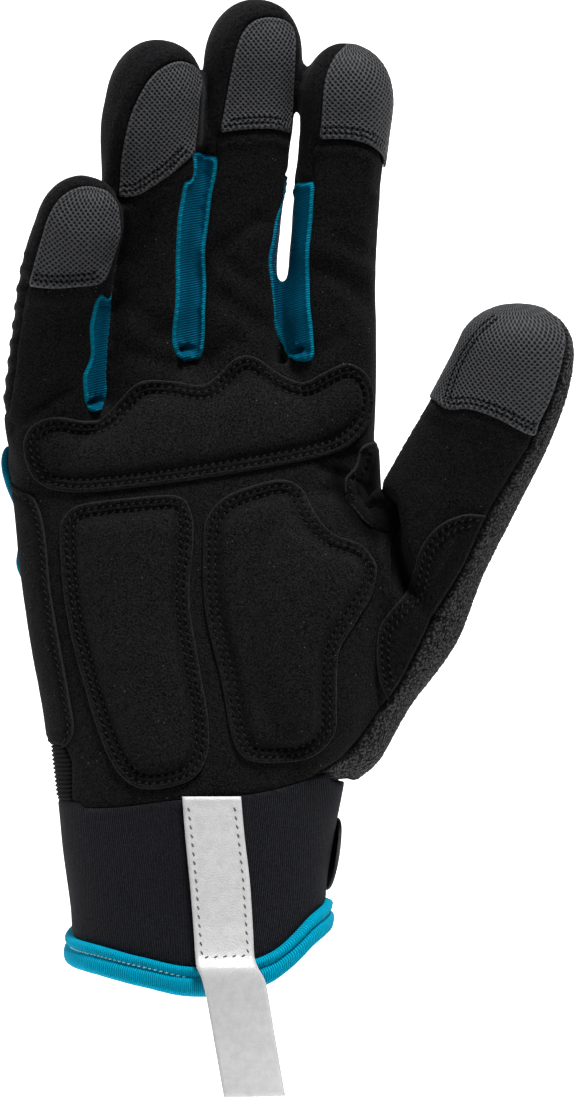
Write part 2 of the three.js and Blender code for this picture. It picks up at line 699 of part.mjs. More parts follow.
const tipPatches = [
  ...Object.entries(fingers).map(([name, finger]) =>
    tipPatch(name, finger, outerSides.finger, palmHalfOfFinger(finger)),
  ),
  tipPatch('thumb', thumb, outerSides.thumb, palmSideOfThumb(0)),
];

// Binding, tab, strap and piping

function bindingRing() {
  const hem = handRows[0];
  const rings = [];
  for (let s = 0; s < outerSides.hand; s += 1) {
    const angle = (-2 * Math.PI * s) / outerSides.hand;
    const ring = bindingSection.map(({ out, up }) => {
      const point = sectionPoint(angle, hem.width / 2 + out, hem.front + out, hem.back + out);
      return new THREE.Vector3(hem.x + point.across, hem.y + point.depth, hemDip(angle) + up);
    });
    rings.push(ring);
  }
  return rings;
}

// Closed ring geometry: the last section joins the first
function closedLoft(rings) {
  const sides = rings[0].length;
  const positions = rings.flat().flatMap((point) => [point.x, point.y, point.z]);
  const index = [];
  for (let r = 0; r < rings.length; r += 1) {
    const next = (r + 1) % rings.length;
    for (let s = 0; s < sides; s += 1) {
      const a = r * sides + s;
      const b = r * sides + ((s + 1) % sides);
      const c = next * sides + ((s + 1) % sides);
      const d = next * sides + s;
      index.push(a, b, c, a, c, d);
    }
  }
  const geometry = new THREE.BufferGeometry();
  geometry.setAttribute('position', new THREE.Float32BufferAttribute(positions, 3));
  geometry.setIndex(index);
  return geometry;
}

const cuffBinding = piece('cuff_binding', solid(closedLoft(bindingRing())), elasticTeal);

// Depth of the cuff's palm-side surface at a place, for what lies on it
function cuffFront(x, z) {
  const level = (row) => row.z + row.hem * -10;
  const above = handRows.findIndex((row) => level(row) > z);
  const i = THREE.MathUtils.clamp(above, 1, handRows.length - 1);
  const low = handRows[i - 1];
  const high = handRows[i];
  const t = THREE.MathUtils.clamp((z - level(low)) / (level(high) - level(low)), 0, 1);
  const mix = (key) => THREE.MathUtils.lerp(low[key], high[key], t);
  const across = Math.min(Math.abs(x - mix('x')) / (mix('width') / 2), 1);
  return mix('y') - mix('front') * (1 - across ** squareness) ** (1 / squareness);
}

function pullTabStrip() {
  const rings = tabRows.map((row) => {
    const top = [];
    const under = [];
    for (let s = 0; s <= tabSpans; s += 1) {
      const x = row.x + row.width * (s / tabSpans - 0.5);
      const y = cuffFront(x, row.z) - seamGap - facetAllowance - row.lift;
      under.push(new THREE.Vector3(x, y, row.z));
      top.push(new THREE.Vector3(x, y - tabThickness, row.z));
    }
    return [...under, ...top.reverse()];
  });
  return loft(rings);
}

const pullTab = piece('pull_tab', solid(pullTabStrip()), reflective);

function strapBand() {
  const { hand } = outerSides;
  const grown = handTube(hand, seamGap + strapThickness).subtract(handTube(hand, seamGap));
  const corner = (turn) => new THREE.Vector2(far, 0).rotateAround(new THREE.Vector2(), -radians(turn));
  const shape = new THREE.Shape([
    new THREE.Vector2(0, 0),
    corner(strapEnds.thumbSide),
    new THREE.Vector2(far, far),
    new THREE.Vector2(-far, far),
    corner(strapEnds.littleSide),
  ]);
  const height = strapHeight.high - strapHeight.low;
  const geometry = new THREE.ExtrudeGeometry(shape, { depth: height, bevelEnabled: false });
  geometry.translate(0, 0, strapHeight.low);
  return grown.intersect(solid(geometry));
}

const wristStrap = piece('wrist_strap', strapBand(), strapTape);

// Size and place of the hand's section at a height above the cuff
function handAt(z) {
  const i = handRows.findIndex((row) => row.z > z);
  const [low, high] = [handRows[i - 1], handRows[i]];
  const t = (z - low.z) / (high.z - low.z);
  const mix = (key) => THREE.MathUtils.lerp(low[key], high[key], t);
  return Object.fromEntries(Object.keys(low).map((key) => [key, mix(key)]));
}

function pipingCord() {
  const points = pipingRows.map(({ z, behind }) => {
    const hand = handAt(z);
    const depth = behind / hand.back;
    const across = (1 - depth ** squareness) ** (1 / squareness);
    const outwards = new THREE.Vector2(
      -(across ** (squareness - 1)) / hand.width,
      depth ** (squareness - 1) / (2 * hand.back),
    );
    outwards.setLength(pipingRadius + seamGap + facetAllowance);
    const x = hand.x - (hand.width / 2) * across + outwards.x;
    return new THREE.Vector3(x, hand.y + behind + outwards.y, z);
  });
  const section = new THREE.Shape();
  section.absarc(0, 0, pipingRadius, 0, 2 * Math.PI);
  const geometry = new THREE.ExtrudeGeometry(section, {
    steps: 12,
    curveSegments: 4,
    extrudePath: new THREE.CatmullRomCurve3(points),
  });
  return solid(geometry);
}

const sidePiping = piece('side_piping', pipingCord(), ribbedTeal);

const group = new THREE.Group();
group.add(
  palmPanel,
  backPanel,
  ...gussets,
  thumbPanel,
  thumbTerry,
  ...tipPatches,
  ...pads,
  sidePatch,
  crotchPatch,
  thumbBasePatch,
  sidePiping,
  sideElastic,
  cuff,
  cuffBinding,
  pullTab,
  wristStrap,
);

export default group;
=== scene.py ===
from math import cos, pi, radians, sin

import bmesh
import bpy
import numpy as np
from mathutils import Matrix, Vector, noise
from mathutils.bvhtree import BVHTree
from mathutils.kdtree import KDTree


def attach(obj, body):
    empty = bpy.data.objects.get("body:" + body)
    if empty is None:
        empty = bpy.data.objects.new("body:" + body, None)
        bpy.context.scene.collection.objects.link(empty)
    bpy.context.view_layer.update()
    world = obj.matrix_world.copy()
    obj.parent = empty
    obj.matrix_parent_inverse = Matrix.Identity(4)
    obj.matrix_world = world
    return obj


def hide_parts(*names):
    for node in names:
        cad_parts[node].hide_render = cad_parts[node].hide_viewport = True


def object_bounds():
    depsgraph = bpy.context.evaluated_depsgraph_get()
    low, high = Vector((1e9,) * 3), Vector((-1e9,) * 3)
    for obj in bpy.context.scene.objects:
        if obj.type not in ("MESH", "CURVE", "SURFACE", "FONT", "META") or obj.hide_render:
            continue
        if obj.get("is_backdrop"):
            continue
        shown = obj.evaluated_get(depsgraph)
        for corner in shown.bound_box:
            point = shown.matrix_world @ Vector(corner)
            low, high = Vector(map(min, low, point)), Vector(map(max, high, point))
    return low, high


# A work glove for the right hand, worn form: palm to -Y, fingers up, thumb to +X.
# Shapes are worked out in millimetres and made metres when a piece is finished.

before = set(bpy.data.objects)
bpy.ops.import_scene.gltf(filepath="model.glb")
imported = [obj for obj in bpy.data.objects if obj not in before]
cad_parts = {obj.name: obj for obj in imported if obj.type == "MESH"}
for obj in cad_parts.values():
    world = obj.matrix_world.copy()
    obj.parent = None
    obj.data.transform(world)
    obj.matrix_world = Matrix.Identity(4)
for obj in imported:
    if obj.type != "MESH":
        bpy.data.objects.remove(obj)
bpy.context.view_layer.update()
millimetre = 0.001
print("frame loaded:", len(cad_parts), "nodes")


def addObject(name, data):
    obj = bpy.data.objects.new(name, data)
    bpy.context.scene.collection.objects.link(obj)
    return obj


# Camera: the photo's size is in pixels, the rest in millimetres
photo = {"width": 578, "height": 1100, "pixel": 0.255, "across": 23.2, "up": 95.6, "distance": 1600}
cameraData = bpy.data.cameras.new("camera")
camera = addObject("camera", cameraData)
bpy.context.scene.camera = camera
camera.location = Vector((photo["across"], -photo["distance"], photo["up"])) * millimetre
camera.rotation_euler = (pi / 2, 0, 0)
cameraData.lens = cameraData.sensor_width * photo["distance"] / (photo["height"] * photo["pixel"])

# The glove's form: rows of sections as in the solids, fitted closer to the photo at the fingers
squareness = 2.35  # sections are superellipses, and 2 would be an ellipse
sectionPower = 2 / squareness

hand = {
    "columns": ("x", "y", "z", "width", "front", "back", "hem", "web"),
    "rows": [
        (0.2, 0.2, 2.0, 64.8, 23.6, 23.6, 1.0, 0),
        (0.1, 1.2, 8.0, 65.4, 23.0, 23.2, 0.7, 0),
        (0.0, 2.4, 20.0, 69.2, 22.2, 22.6, 0.25, 0),
        (0.3, 3.6, 32.0, 72.6, 21.4, 21.8, 0, 0),
        (0.7, 5.0, 46.0, 76.6, 22.0, 20.6, 0, 0),
        (1.3, 6.4, 61.0, 82.8, 21.4, 19.0, 0, 0),
        (1.3, 7.6, 76.0, 88.0, 20.2, 17.9, 0, 0),
        (0.7, 8.6, 92.0, 91.2, 18.8, 17.0, 0, 0),
        (-0.2, 9.4, 107.0, 92.4, 17.6, 16.2, 0, 0),
        (-1.8, 9.9, 121.0, 94.4, 16.0, 14.8, 0, 0.35),
        (-2.2, 10.0, 133.0, 92.2, 13.4, 13.0, 0, 0.75),
        (-1.8, 9.8, 143.4, 87.0, 9.0, 9.0, 0, 1.0),
    ],
    "hemTurns": (0, 30, 60, 88, 112, 140, 180, 225, 270, 315),  # degrees, thumb side over palm
    "hemDips": (5.1, 1.6, -7.4, -10.6, -8.2, -5.4, -3.3, 1.0, 4.0, 5.6),
    "below": 14,  # the first loft runs on below the hem and is cut there
    "webTop": 143.4,
    "littleDrop": 13,  # the web lies lower towards the little finger
    "dropFrom": -28,
    "dropTo": -6,
}
digitColumns = ("x", "y", "z", "width", "front", "back", "left", "right")
digits = {
    "little": {
        "rows": [
            (-35.6, 9.0, 117.0, 23.6, 11.6, 11.4, 40, 7.5),
            (-36.8, 6.6, 130.0, 26.0, 11.2, 11.0, 40, 7.5),
            (-35.8, 2.4, 143.0, 25.2, 10.4, 10.1, 40, 7.7),
            (-34.3, -3.8, 157.5, 24.0, 9.9, 9.5, 40, 8.3),
            (-32.0, -10.4, 169.6, 23.2, 9.7, 9.3, 9.4, 8.0),
            (-29.9, -13.8, 176.4, 22.4, 9.5, 9.1, 8.6, 7.4),
        ],
        "tip": (-27.2, -19.0, 189.4),
        "gussetTop": 160,
    },
    "ring": {
        "rows": [
            (-12.4, 10.2, 122.0, 24.4, 12.4, 11.8, 9.2, 7.4),
            (-12.7, 9.2, 138.0, 24.6, 11.5, 11.1, 9.0, 7.1),
            (-12.1, 5.8, 157.5, 23.6, 10.9, 10.3, 8.8, 7.1),
            (-11.9, 2.0, 174.5, 23.8, 10.5, 9.9, 8.8, 7.4),
            (-11.8, -6.2, 199.4, 26.0, 10.3, 9.6, 9.0, 10.0),
            (-10.7, -9.2, 210.0, 25.0, 10.0, 9.4, 8.0, 10.0),
        ],
        "tip": (-7.8, -13.4, 224.4),
        "gussetTop": 195,
    },
    "middle": {
        "rows": [
            (9.8, 10.6, 122.0, 24.4, 12.8, 12.0, 8.6, 9.0),
            (9.7, 10.2, 138.0, 23.2, 11.8, 11.2, 8.3, 8.9),
            (9.6, 8.4, 157.5, 21.7, 11.0, 10.4, 8.0, 8.6),
            (9.9, 6.0, 174.5, 22.0, 10.6, 10.1, 8.2, 8.4),
            (12.6, -0.6, 207.0, 23.6, 10.2, 9.7, 8.6, 9.8),
            (14.0, -3.9, 220.2, 25.2, 10.0, 9.5, 8.0, 9.6),
        ],
        "tip": (16.6, -8.0, 235.2),
        "gussetTop": 192,
    },
    "index": {
        "rows": [
            (33.2, 10.0, 122.0, 23.4, 12.2, 11.8, 7.2, 40),
            (33.9, 9.4, 138.0, 23.2, 11.4, 11.1, 6.4, 40),
            (33.6, 7.5, 156.0, 24.2, 11.0, 10.6, 6.3, 40),
            (34.0, 5.9, 166.5, 23.0, 10.8, 10.3, 6.3, 40),
            (35.4, 1.8, 187.0, 21.9, 10.4, 9.9, 8.0, 40),
            (36.8, -0.8, 199.0, 22.0, 10.1, 9.6, 8.4, 40),
            (37.7, -3.6, 209.8, 23.4, 9.9, 9.4, 8.6, 40),
        ],
        "tip": (38.4, -7.6, 224.2),
        "gussetTop": 188,
    },
    "thumb": {
        "rows": [
            (31.0, 6.4, 40.0, 20.0, 10.0, 9.0, 0, 0),
            (33.6, 6.2, 47.0, 27.4, 14.0, 13.6, 0, 0),
            (40.4, 5.2, 63.0, 31.6, 15.0, 15.0, 0, 0),
            (49.6, 3.4, 80.0, 36.6, 14.6, 15.0, 0, 0),
            (57.6, 0.0, 97.0, 33.8, 14.0, 14.0, 0, 0),
            (66.8, -5.0, 114.4, 33.0, 13.4, 13.2, 0, 0),
            (74.0, -9.6, 128.0, 32.0, 12.8, 12.6, 0, 0),
            (78.8, -12.8, 138.6, 30.6, 12.4, 12.2, 0, 0),
            (80.7, -14.4, 145.4, 29.2, 12.0, 11.8, 0, 0),
        ],
        "tip": (80.4, -16.6, 157.6),
    },
    "thumbMound": {
        "rows": [
            (22.0, 4.0, 42.0, 30.0, 17.4, 14.0, 0, 0),
            (26.0, 3.2, 57.0, 40.0, 19.6, 14.0, 0, 0),
            (28.6, 3.0, 72.0, 42.4, 19.4, 14.0, 0, 0),
            (30.2, 3.6, 87.0, 40.2, 18.2, 14.0, 0, 0),
            (30.8, 5.0, 98.0, 35.0, 15.8, 13.0, 0, 0),
        ],
        "tip": (31.6, 7.0, 112.0),
    },
}
fingerNames = ("little", "ring", "middle", "index")
gussetOrder = ("index", "middle", "ring", "little")  # a gusset is named for its fingers in this order
tipHood = 5  # the knit comes this far down over each fingertip

# Outlines and seams on the palm side, as (x, z); a point given twice is a crisp corner
outlines = {
    "knuckle": [
        (-44, 123), (-41.5, 127.5), (-36, 129.5), (-29, 128.5), (-23.5, 129.5), (-19.5, 134),
        (-15, 138.3), (-9, 138.8), (0.5, 137.2), (4.5, 139.4), (9.6, 144.4), (14.2, 144.8), (21, 140),
        (27, 138.2), (32.5, 141), (38, 143.2), (42.6, 140.2), (44, 134), (42.5, 127), (37, 121.4),
        (26, 118), (0, 113.5), (-17.5, 111.2), (-30, 110.2), (-38, 111.4), (-42.5, 115.8),
    ],
    "heel": [
        (-34.8, 99), (-33.4, 104.4), (-29, 107.2), (-16, 108.8), (-5, 109.2), (-1.6, 105), (-1, 98),
        (-2, 83), (0.4, 67), (2.8, 53), (2.6, 44), (-1.5, 37.6), (-12, 35.2), (-18.5, 38),
        (-23.5, 46.5), (-28.6, 62), (-33, 80),
    ],
    "thumbBall": [
        (1.4, 97), (2.6, 104), (7, 109), (14.5, 112), (21.5, 113.4), (26.4, 111), (30, 104.4),
        (34.5, 99.4), (41, 96.8), (45.4, 92), (44.4, 85.4), (39.6, 77), (35.6, 69.4), (35, 58),
        (34.4, 49.4), (29, 43.6), (20, 41.8), (12, 43), (8.6, 49), (6.2, 62), (2, 80),
    ],
    "side": [
        (-60, 112), (-44.5, 110.4), (-40.5, 106.6), (-38.6, 98), (-37.4, 86), (-35, 72),
        (-32.4, 58), (-31.2, 50), (-32.8, 46.2), (-38, 44.6), (-60, 44.6),
    ],
    "crotch": [
        (45.5, 123.6), (41.4, 121.8), (40, 117), (37.8, 113.6), (37.8, 109.8), (40.1, 105.8),
        (44, 101.4), (46.4, 100.2), (46.4, 100.2), (47, 106), (48, 112), (48, 118), (48, 123.6),
        (48, 123.6),
    ],
    "thumbBase": [
        (71.8, 104.5), (67.8, 104.7), (62.4, 102.7), (58.4, 99.1), (55.9, 94.6), (54.8, 88.8),
        (53.7, 85.2), (49, 80.4), (46.1, 75.9), (45.2, 71), (45.7, 64), (47.8, 58.1), (50, 52),
        (60, 60), (74, 90), (80, 104), (80, 104),
    ],
    "little": [
        (-28.1, 187.2), (-33, 185.3), (-36.4, 181.2), (-39.2, 175), (-41.2, 167), (-42.2, 162.4),
        (-42.2, 162.4), (-37.9, 161.8), (-31.7, 161.8), (-25.5, 162.6), (-23.2, 164), (-23.2, 164),
        (-21.4, 168), (-19.8, 173), (-19.4, 178), (-20.6, 183), (-23.6, 186.2),
    ],
    "ring": [
        (-5.3, 218.8), (-9.6, 216.6), (-13.1, 212.7), (-16.7, 205.6), (-18.7, 197.8), (-19.7, 191),
        (-19.5, 185), (-19.5, 185), (-15.1, 185.4), (-10.6, 188), (-6.3, 191), (-1, 196), (-1, 196),
        (0, 201.3), (0.6, 208.4), (1.2, 213.4), (0.4, 216.6), (-1.8, 218.5),
    ],
    "middle": [
        (17.3, 230.4), (13.6, 229), (11.2, 226), (9.4, 221), (7.7, 213), (6.4, 206), (5.8, 201.3),
        (5.8, 201.3), (10.8, 202.1), (18.1, 202.5), (23.1, 201.7), (23.1, 201.7), (23.8, 206.2),
        (24.5, 213.2), (25, 223.6), (24.2, 228), (21.7, 230),
    ],
    "index": [
        (39.1, 224.2), (36.2, 222.4), (33.8, 219.2), (32.1, 214), (31.4, 206.2), (31, 199.7),
        (31, 199.7), (37.4, 199.7), (42.6, 198.7), (46, 196.6), (47, 194.6), (46.6, 188.6),
        (46.6, 188.6), (54, 188.6), (54, 214), (45.8, 222.6),
    ],
    "thumb": [
        (58.8, 134.4), (61.6, 131.9), (64, 130.9), (67.8, 131.1), (71.3, 130.3), (76.3, 128.3),
        (81.4, 125.6), (84.9, 124.2), (84.9, 124.2), (86.4, 127.8), (88.9, 132.9), (91.2, 139.9),
        (92.2, 144.4), (92.9, 148.5), (91.2, 153.2), (86.5, 158), (84, 168), (70, 168), (56, 154),
        (56, 138),
    ],
}
seams = {
    "terry": [
        (87, 158.5), (91.3, 153.4), (93, 148.5), (92.3, 144.4), (91.3, 139.9), (89, 132.9),
        (86.5, 127.8), (82.9, 120.4), (79.4, 114.5), (72.6, 103), (67.2, 91.2),
        (61.4, 81.4), (56, 71), (51.4, 61.8), (46.6, 55.4), (41.4, 48), (36.4, 42.4), (30, 38.6),
    ],
    "crease": [
        (46.6, 118), (46.4, 108), (47.8, 98), (49.4, 88), (48, 78), (46, 66), (46, 56),
    ],
    "thumbBack": [(46.4, 116), (46, 104), (44, 88), (40, 70), (35, 52), (30, 38)],
    "cuff": [
        (-60, 32.6), (-32, 31.8), (-29, 30.4), (-20, 30.6), (-8, 32.2), (4, 33.2), (14, 34),
        (22, 35.6), (29, 37.6), (33.6, 38.4), (36.4, 36.4), (60, 33),
    ],
}

# Outlines on the palm side as the camera sees them, in the photo's pixels across and down
seenOutlines = {
    "gusset_ring_little": [
        (105.4, 296.4), (109, 304), (109, 316), (107.6, 334), (106.4, 350), (106, 370), (106.6, 390),
        (103, 406), (96, 413), (88, 406), (85.4, 392), (85, 376), (90, 366), (93, 354), (92, 338),
        (92, 328), (95, 316), (100, 302),
    ],
    "gusset_middle_ring": [
        (197, 154), (206, 156), (215, 160), (213.7, 176), (210, 192), (207.5, 210), (204.7, 233),
        (203, 253), (202.5, 267), (203.7, 287), (203.3, 307), (203, 327), (201.7, 347), (197.5, 357),
        (190, 362.5), (180, 357), (175, 347), (174.2, 333), (175.8, 310), (177, 287), (177.5, 263),
        (178, 240), (180, 217), (183.3, 200), (186, 184), (190, 182), (194, 181), (195.3, 170),
    ],
    "gusset_index_middle": [
        (292.5, 183.7), (302, 184), (312, 184.2), (311.7, 200), (310.3, 220), (308.3, 240),
        (307.5, 260), (307.5, 277), (308.7, 300), (310.8, 320), (312.5, 340), (313.3, 353),
        (310, 361), (302, 363.3), (292, 358.3), (285, 350), (280.3, 337), (277.5, 320), (275, 300),
        (272.5, 277), (271.3, 260), (272.5, 247), (275.8, 227), (280, 212), (284.2, 202), (288, 190),
    ],
    "little": [
        (-10, 440), (3.4, 425), (10.2, 394), (14.8, 366), (17, 339), (20.5, 316), (25, 297),
        (28, 284), (40, 288), (60, 287), (80, 285), (95, 282), (106, 278), (106, 290), (104, 310),
        (99, 340), (95, 400), (94, 440),
    ],
    "ring": [
        (92, 440), (99, 400), (101, 340), (104, 300), (110, 250), (115, 215), (119, 201), (126, 199),
        (137, 193), (155, 182), (172, 171), (184, 162), (189, 157), (195, 157), (195, 181),
        (190, 220), (188, 300), (188, 360), (190, 380), (180, 440),
    ],
    "middle": [
        (176, 440), (189, 370), (190, 300), (193, 240), (204, 190), (215.5, 160), (219, 134),
        (240, 131), (268, 129), (288, 133), (290, 150), (287.5, 180), (284.5, 201), (280, 240),
        (280, 265), (284, 300), (292, 350), (300, 380), (302, 440),
    ],
    "index": [
        (298, 440), (293, 360), (297, 300), (300, 240), (305, 200), (312, 184), (312.5, 165),
        (317, 143), (343, 141), (365, 145), (382, 157), (384, 185), (402, 190), (402, 440),
    ],
}

# Lower edges of the fingertip patches as stretches of their outlines, and the thumb patch's side seam
hems = {"little": (6, 11), "ring": (7, 12), "middle": (7, 11), "index": (6, 12), "thumb": (1, 8)}
thumbSideSeam = [(75, 155.6), (70.6, 151.8), (66.6, 146), (63.6, 139.4), (61.8, 133.4)]

# Creases of the worn glove on the palm side: line as (x, z), how deep and how wide
creases = [
    {"line": [(46.8, 107), (48.3, 101), (50.9, 92), (53.4, 85.6)], "deep": 6.0, "wide": 2.2},
    {"line": [(44, 115), (45.4, 108), (47.4, 101)], "deep": 1.8, "wide": 3.2},
    {"line": [(35.5, 114), (39, 106), (45, 99.5)], "deep": 0.6, "wide": 2.6},
    {"line": [(-48, 126.6), (-40.3, 131.4), (-33.1, 136.4)], "deep": 1.7, "wide": 1.9},
    {"line": [(33, 110.4), (39, 108.6), (45, 107.4)], "deep": 1.0, "wide": 1.5},
    {"line": [(32, 116.4), (38, 114.4), (44, 111)], "deep": 1.2, "wide": 1.6},
    {"line": [(-17.9, 170.3), (-15, 176), (-12.2, 180.8)], "deep": 0.9, "wide": 3.0},
    {"line": [(15.5, 179.5), (10, 175), (5.4, 171.6), (8, 168), (12.2, 164.5)], "deep": 0.9, "wide": 2.3},
    {"line": [(6.6, 159.6), (11, 156.4), (16.3, 153)], "deep": 1.0, "wide": 2.8},
    {"line": [(-21.4, 158.8), (-15, 156), (-8.7, 150.7)], "deep": 0.9, "wide": 3.6},
    {"line": [(-16, 146), (-10, 143.6), (-4, 142.6)], "deep": 0.9, "wide": 2.4},
    {"line": [(30.9, 167), (37, 164), (43.8, 158.4)], "deep": 0.9, "wide": 2.8},
    {"line": [(36, 174.6), (40, 172.4), (45, 169.6)], "deep": 0.7, "wide": 2.4},
    {"line": [(0, 141), (4, 144.6), (9, 148.6)], "deep": 0.9, "wide": 2.4},
    {"line": [(28, 141.6), (31, 145.6), (36, 149.6)], "deep": 0.8, "wide": 2.6},
    {"line": [(61.2, 127), (60.6, 121), (59, 113)], "deep": 0.8, "wide": 2.6},
    {"line": [(70.4, 122), (70.6, 116), (69, 111)], "deep": 0.6, "wide": 3.0},
    {"line": [(55, 84.6), (57, 80.6), (60, 78)], "deep": 0.9, "wide": 2.2},
]


def catmullRom(points, steps, closed=False):
    points = np.asarray(points, float)
    if closed:
        around = np.vstack([points[-1:], points, points[:2]])
    else:
        around = np.vstack([2 * points[:1] - points[1:2], points, 2 * points[-1:] - points[-2:-1]])
    t = np.linspace(0, 1, steps, endpoint=False)[:, None]
    spans = [
        b + 0.5 * t * ((c - a) + t * ((2 * a - 5 * b + 4 * c - d) + t * (3 * (b - c) + d - a)))
        for a, b, c, d in zip(around, around[1:], around[2:], around[3:])
    ]
    return np.vstack(spans if closed else [*spans, points[-1:]])


def table(columns, rows):
    return dict(zip(columns, np.asarray(rows, float).T))


def smoothStep(low, high, value):
    t = np.clip((value - low) / (high - low), 0, 1)
    return t * t * (3 - 2 * t)


# One at nought, falling off to both sides
def bell(value, wide):
    return np.exp(-((value / wide) ** 2))


def webDrop(x):
    return hand["littleDrop"] * (1 - smoothStep(hand["dropFrom"], hand["dropTo"], x))


hemTurns = np.array(hand["hemTurns"] + (360,), float)
hemCurve = catmullRom(np.array([hemTurns[:-1], hand["hemDips"]]).T, 12)
hemCurve = np.vstack([hemCurve, [(360, hand["hemDips"][0])]])


def hemDip(angle):
    return np.interp(np.degrees(angle) % 360, hemCurve[:, 0], hemCurve[:, 1])


def sectionAt(angle, halfWidth, front, back):
    across = np.sign(np.cos(angle)) * np.abs(np.cos(angle)) ** sectionPower
    depth = np.sign(np.sin(angle)) * np.abs(np.sin(angle)) ** sectionPower
    return halfWidth * across, -np.where(depth > 0, front, back) * depth


# The turn round a section at which a place lies
def turnOf(x, y, row):
    along, depth = (x - row[0]) / row[3] * 2, (row[1] - y) / row[4]
    unpowered = [np.sign(share) * np.abs(share) ** (1 / sectionPower) for share in (depth, along)]
    return np.arctan2(*unpowered)


# A closed or open skin through a grid of points, rows along and columns across
def gridSkin(points, closeAcross=True, closeAlong=False, capEnds=True):
    if closeAcross:
        points = np.concatenate([points, points[:, :1]], axis=1)
    if closeAlong:
        points = np.concatenate([points, points[:1]], axis=0)
    along, across = points.shape[:2]
    bm = bmesh.new()
    bmesh.ops.create_grid(bm, x_segments=across - 1, y_segments=along - 1, size=1)
    for vert, place in zip(bm.verts, points.reshape(-1, 3)):
        vert.co = place
    bmesh.ops.remove_doubles(bm, verts=bm.verts, dist=0.001)
    if capEnds:
        rims = [edge for edge in bm.edges if edge.is_boundary]
        bmesh.ops.holes_fill(bm, edges=rims, sides=0)
    bmesh.ops.recalc_face_normals(bm, faces=bm.faces)
    return bm


def meshOf(bm, name):
    mesh = bpy.data.meshes.new(name)
    bm.to_mesh(mesh)
    bm.free()
    return mesh


def bmOf(mesh):
    bm = bmesh.new()
    bm.from_mesh(mesh)
    return bm


def joined(parts):
    whole = bmesh.new()
    for part in parts:
        mesh = meshOf(part, "part")
        whole.from_mesh(mesh)
        bpy.data.meshes.remove(mesh)
    return whole


# The mesh with modifiers applied, given as (kind, settings)
def applied(mesh, *modifiers):
    obj = addObject("work", mesh)
    for kind, settings in modifiers:
        modifier = obj.modifiers.new(kind, kind)
        for name, value in settings.items():
            setattr(modifier, name, value)
    graph = bpy.context.evaluated_depsgraph_get()
    made = bpy.data.meshes.new_from_object(obj.evaluated_get(graph))
    bpy.data.objects.remove(obj)
    return made


def places(verts):
    return np.array([vert.co for vert in verts], float)


# Hull: the outer surface of the whole glove
hull = {
    "handSides": 72,
    "digitSides": 44,
    "rowSteps": 5,
    "tipSteps": 9,
    "tipRoundness": 2.1,
    "tipReach": 0.995,
    "voxel": 0.9,
    "smoothPasses": 4,
    "unevenSize": 17,  # slow waves of worn cloth
    "unevenHeight": 0.28,
    "crumpleSize": 9,  # softer folds on the fingers above the knuckles
    "crumpleHeight": 0.75,
    "crumpleFrom": 138,
    "crumpleTo": 192,
    "crumpleFadeIn": 14,
    "crumpleFadeOut": 20,
    "smoothRight": (44, 50),  # the thumb side of the index finger stays smooth
}


def handPoints():
    rows = catmullRom(hand["rows"], hull["rowSteps"])
    rows = np.vstack([rows[:1], rows])
    drop = np.zeros(len(rows))
    drop[0] = hand["below"]
    angle = -2 * pi * np.arange(hull["handSides"]) / hull["handSides"]
    column = table(hand["columns"], rows)
    across, depth = sectionAt(
        angle[None], column["width"][:, None] / 2, column["front"][:, None], column["back"][:, None]
    )
    x = column["x"][:, None] + across
    y = column["y"][:, None] + depth
    z = column["z"][:, None] + column["hem"][:, None] * hemDip(angle)[None]
    z = z - column["web"][:, None] * webDrop(x) - drop[:, None]
    return np.stack([x, y, z], axis=-1)


def framesAlong(centres):
    along = np.gradient(centres, axis=0)
    along /= np.linalg.norm(along, axis=1, keepdims=True)
    across = np.cross((0, 1, 0), along)
    across /= np.linalg.norm(across, axis=1, keepdims=True)
    return along, across, np.cross(along, across)


def digitPoints(digit):
    rows = catmullRom(digit["rows"], hull["rowSteps"])
    column = table(digitColumns, rows)
    centres = rows[:, :3]
    sizes = np.ones(len(rows))
    steps = np.sin(np.linspace(0, pi / 2, hull["tipSteps"] + 1))[1:] * hull["tipReach"]
    tip = np.array(digit["tip"])
    centres = np.vstack([centres, centres[-1] + steps[:, None] * (tip - centres[-1])])
    power = hull["tipRoundness"]
    sizes = np.concatenate([sizes, (1 - steps**power) ** (1 / power)])
    wide, front, back = (
        np.concatenate([column[name], np.full(len(steps), column[name][-1])]) * sizes
        for name in ("width", "front", "back")
    )
    angle = -2 * pi * np.arange(hull["digitSides"]) / hull["digitSides"]
    across, depth = sectionAt(angle[None], wide[:, None] / 2, front[:, None], back[:, None])
    _, u, v = framesAlong(centres)
    return centres[:, None] + across[..., None] * u[:, None] + depth[..., None] * v[:, None]


def makeHull():
    tubes = joined(gridSkin(points) for points in [handPoints(), *map(digitPoints, digits.values())])
    fused = applied(meshOf(tubes, "tubes"), ("REMESH", {"mode": "VOXEL", "voxel_size": hull["voxel"]}))
    bm = bmOf(fused)
    for _ in range(hull["smoothPasses"]):
        bmesh.ops.smooth_vert(
            bm, verts=bm.verts, factor=0.5, use_axis_x=True, use_axis_y=True, use_axis_z=True
        )
    return meshOf(bm, "hull")


hullMesh = makeHull()
hullPlaces = places(hullMesh.vertices)
hullFacing = np.array([vert.normal for vert in hullMesh.vertices], float)
print("hull:", len(hullPlaces), "points")


# Distance to a line or outline of (x, z) points
def lineDistance(flat, line, closed=False):
    a = np.asarray(line, float)
    b = np.roll(a, -1, axis=0) if closed else a[1:]
    a = a if closed else a[:-1]
    nearest = np.full(len(flat), 1e9)
    for start, end in zip(a, b):
        span = end - start
        t = np.clip((flat - start) @ span / max(span @ span, 1e-12), 0, 1)
        nearest = np.minimum(nearest, np.linalg.norm(flat - start - t[:, None] * span, axis=1))
    return nearest


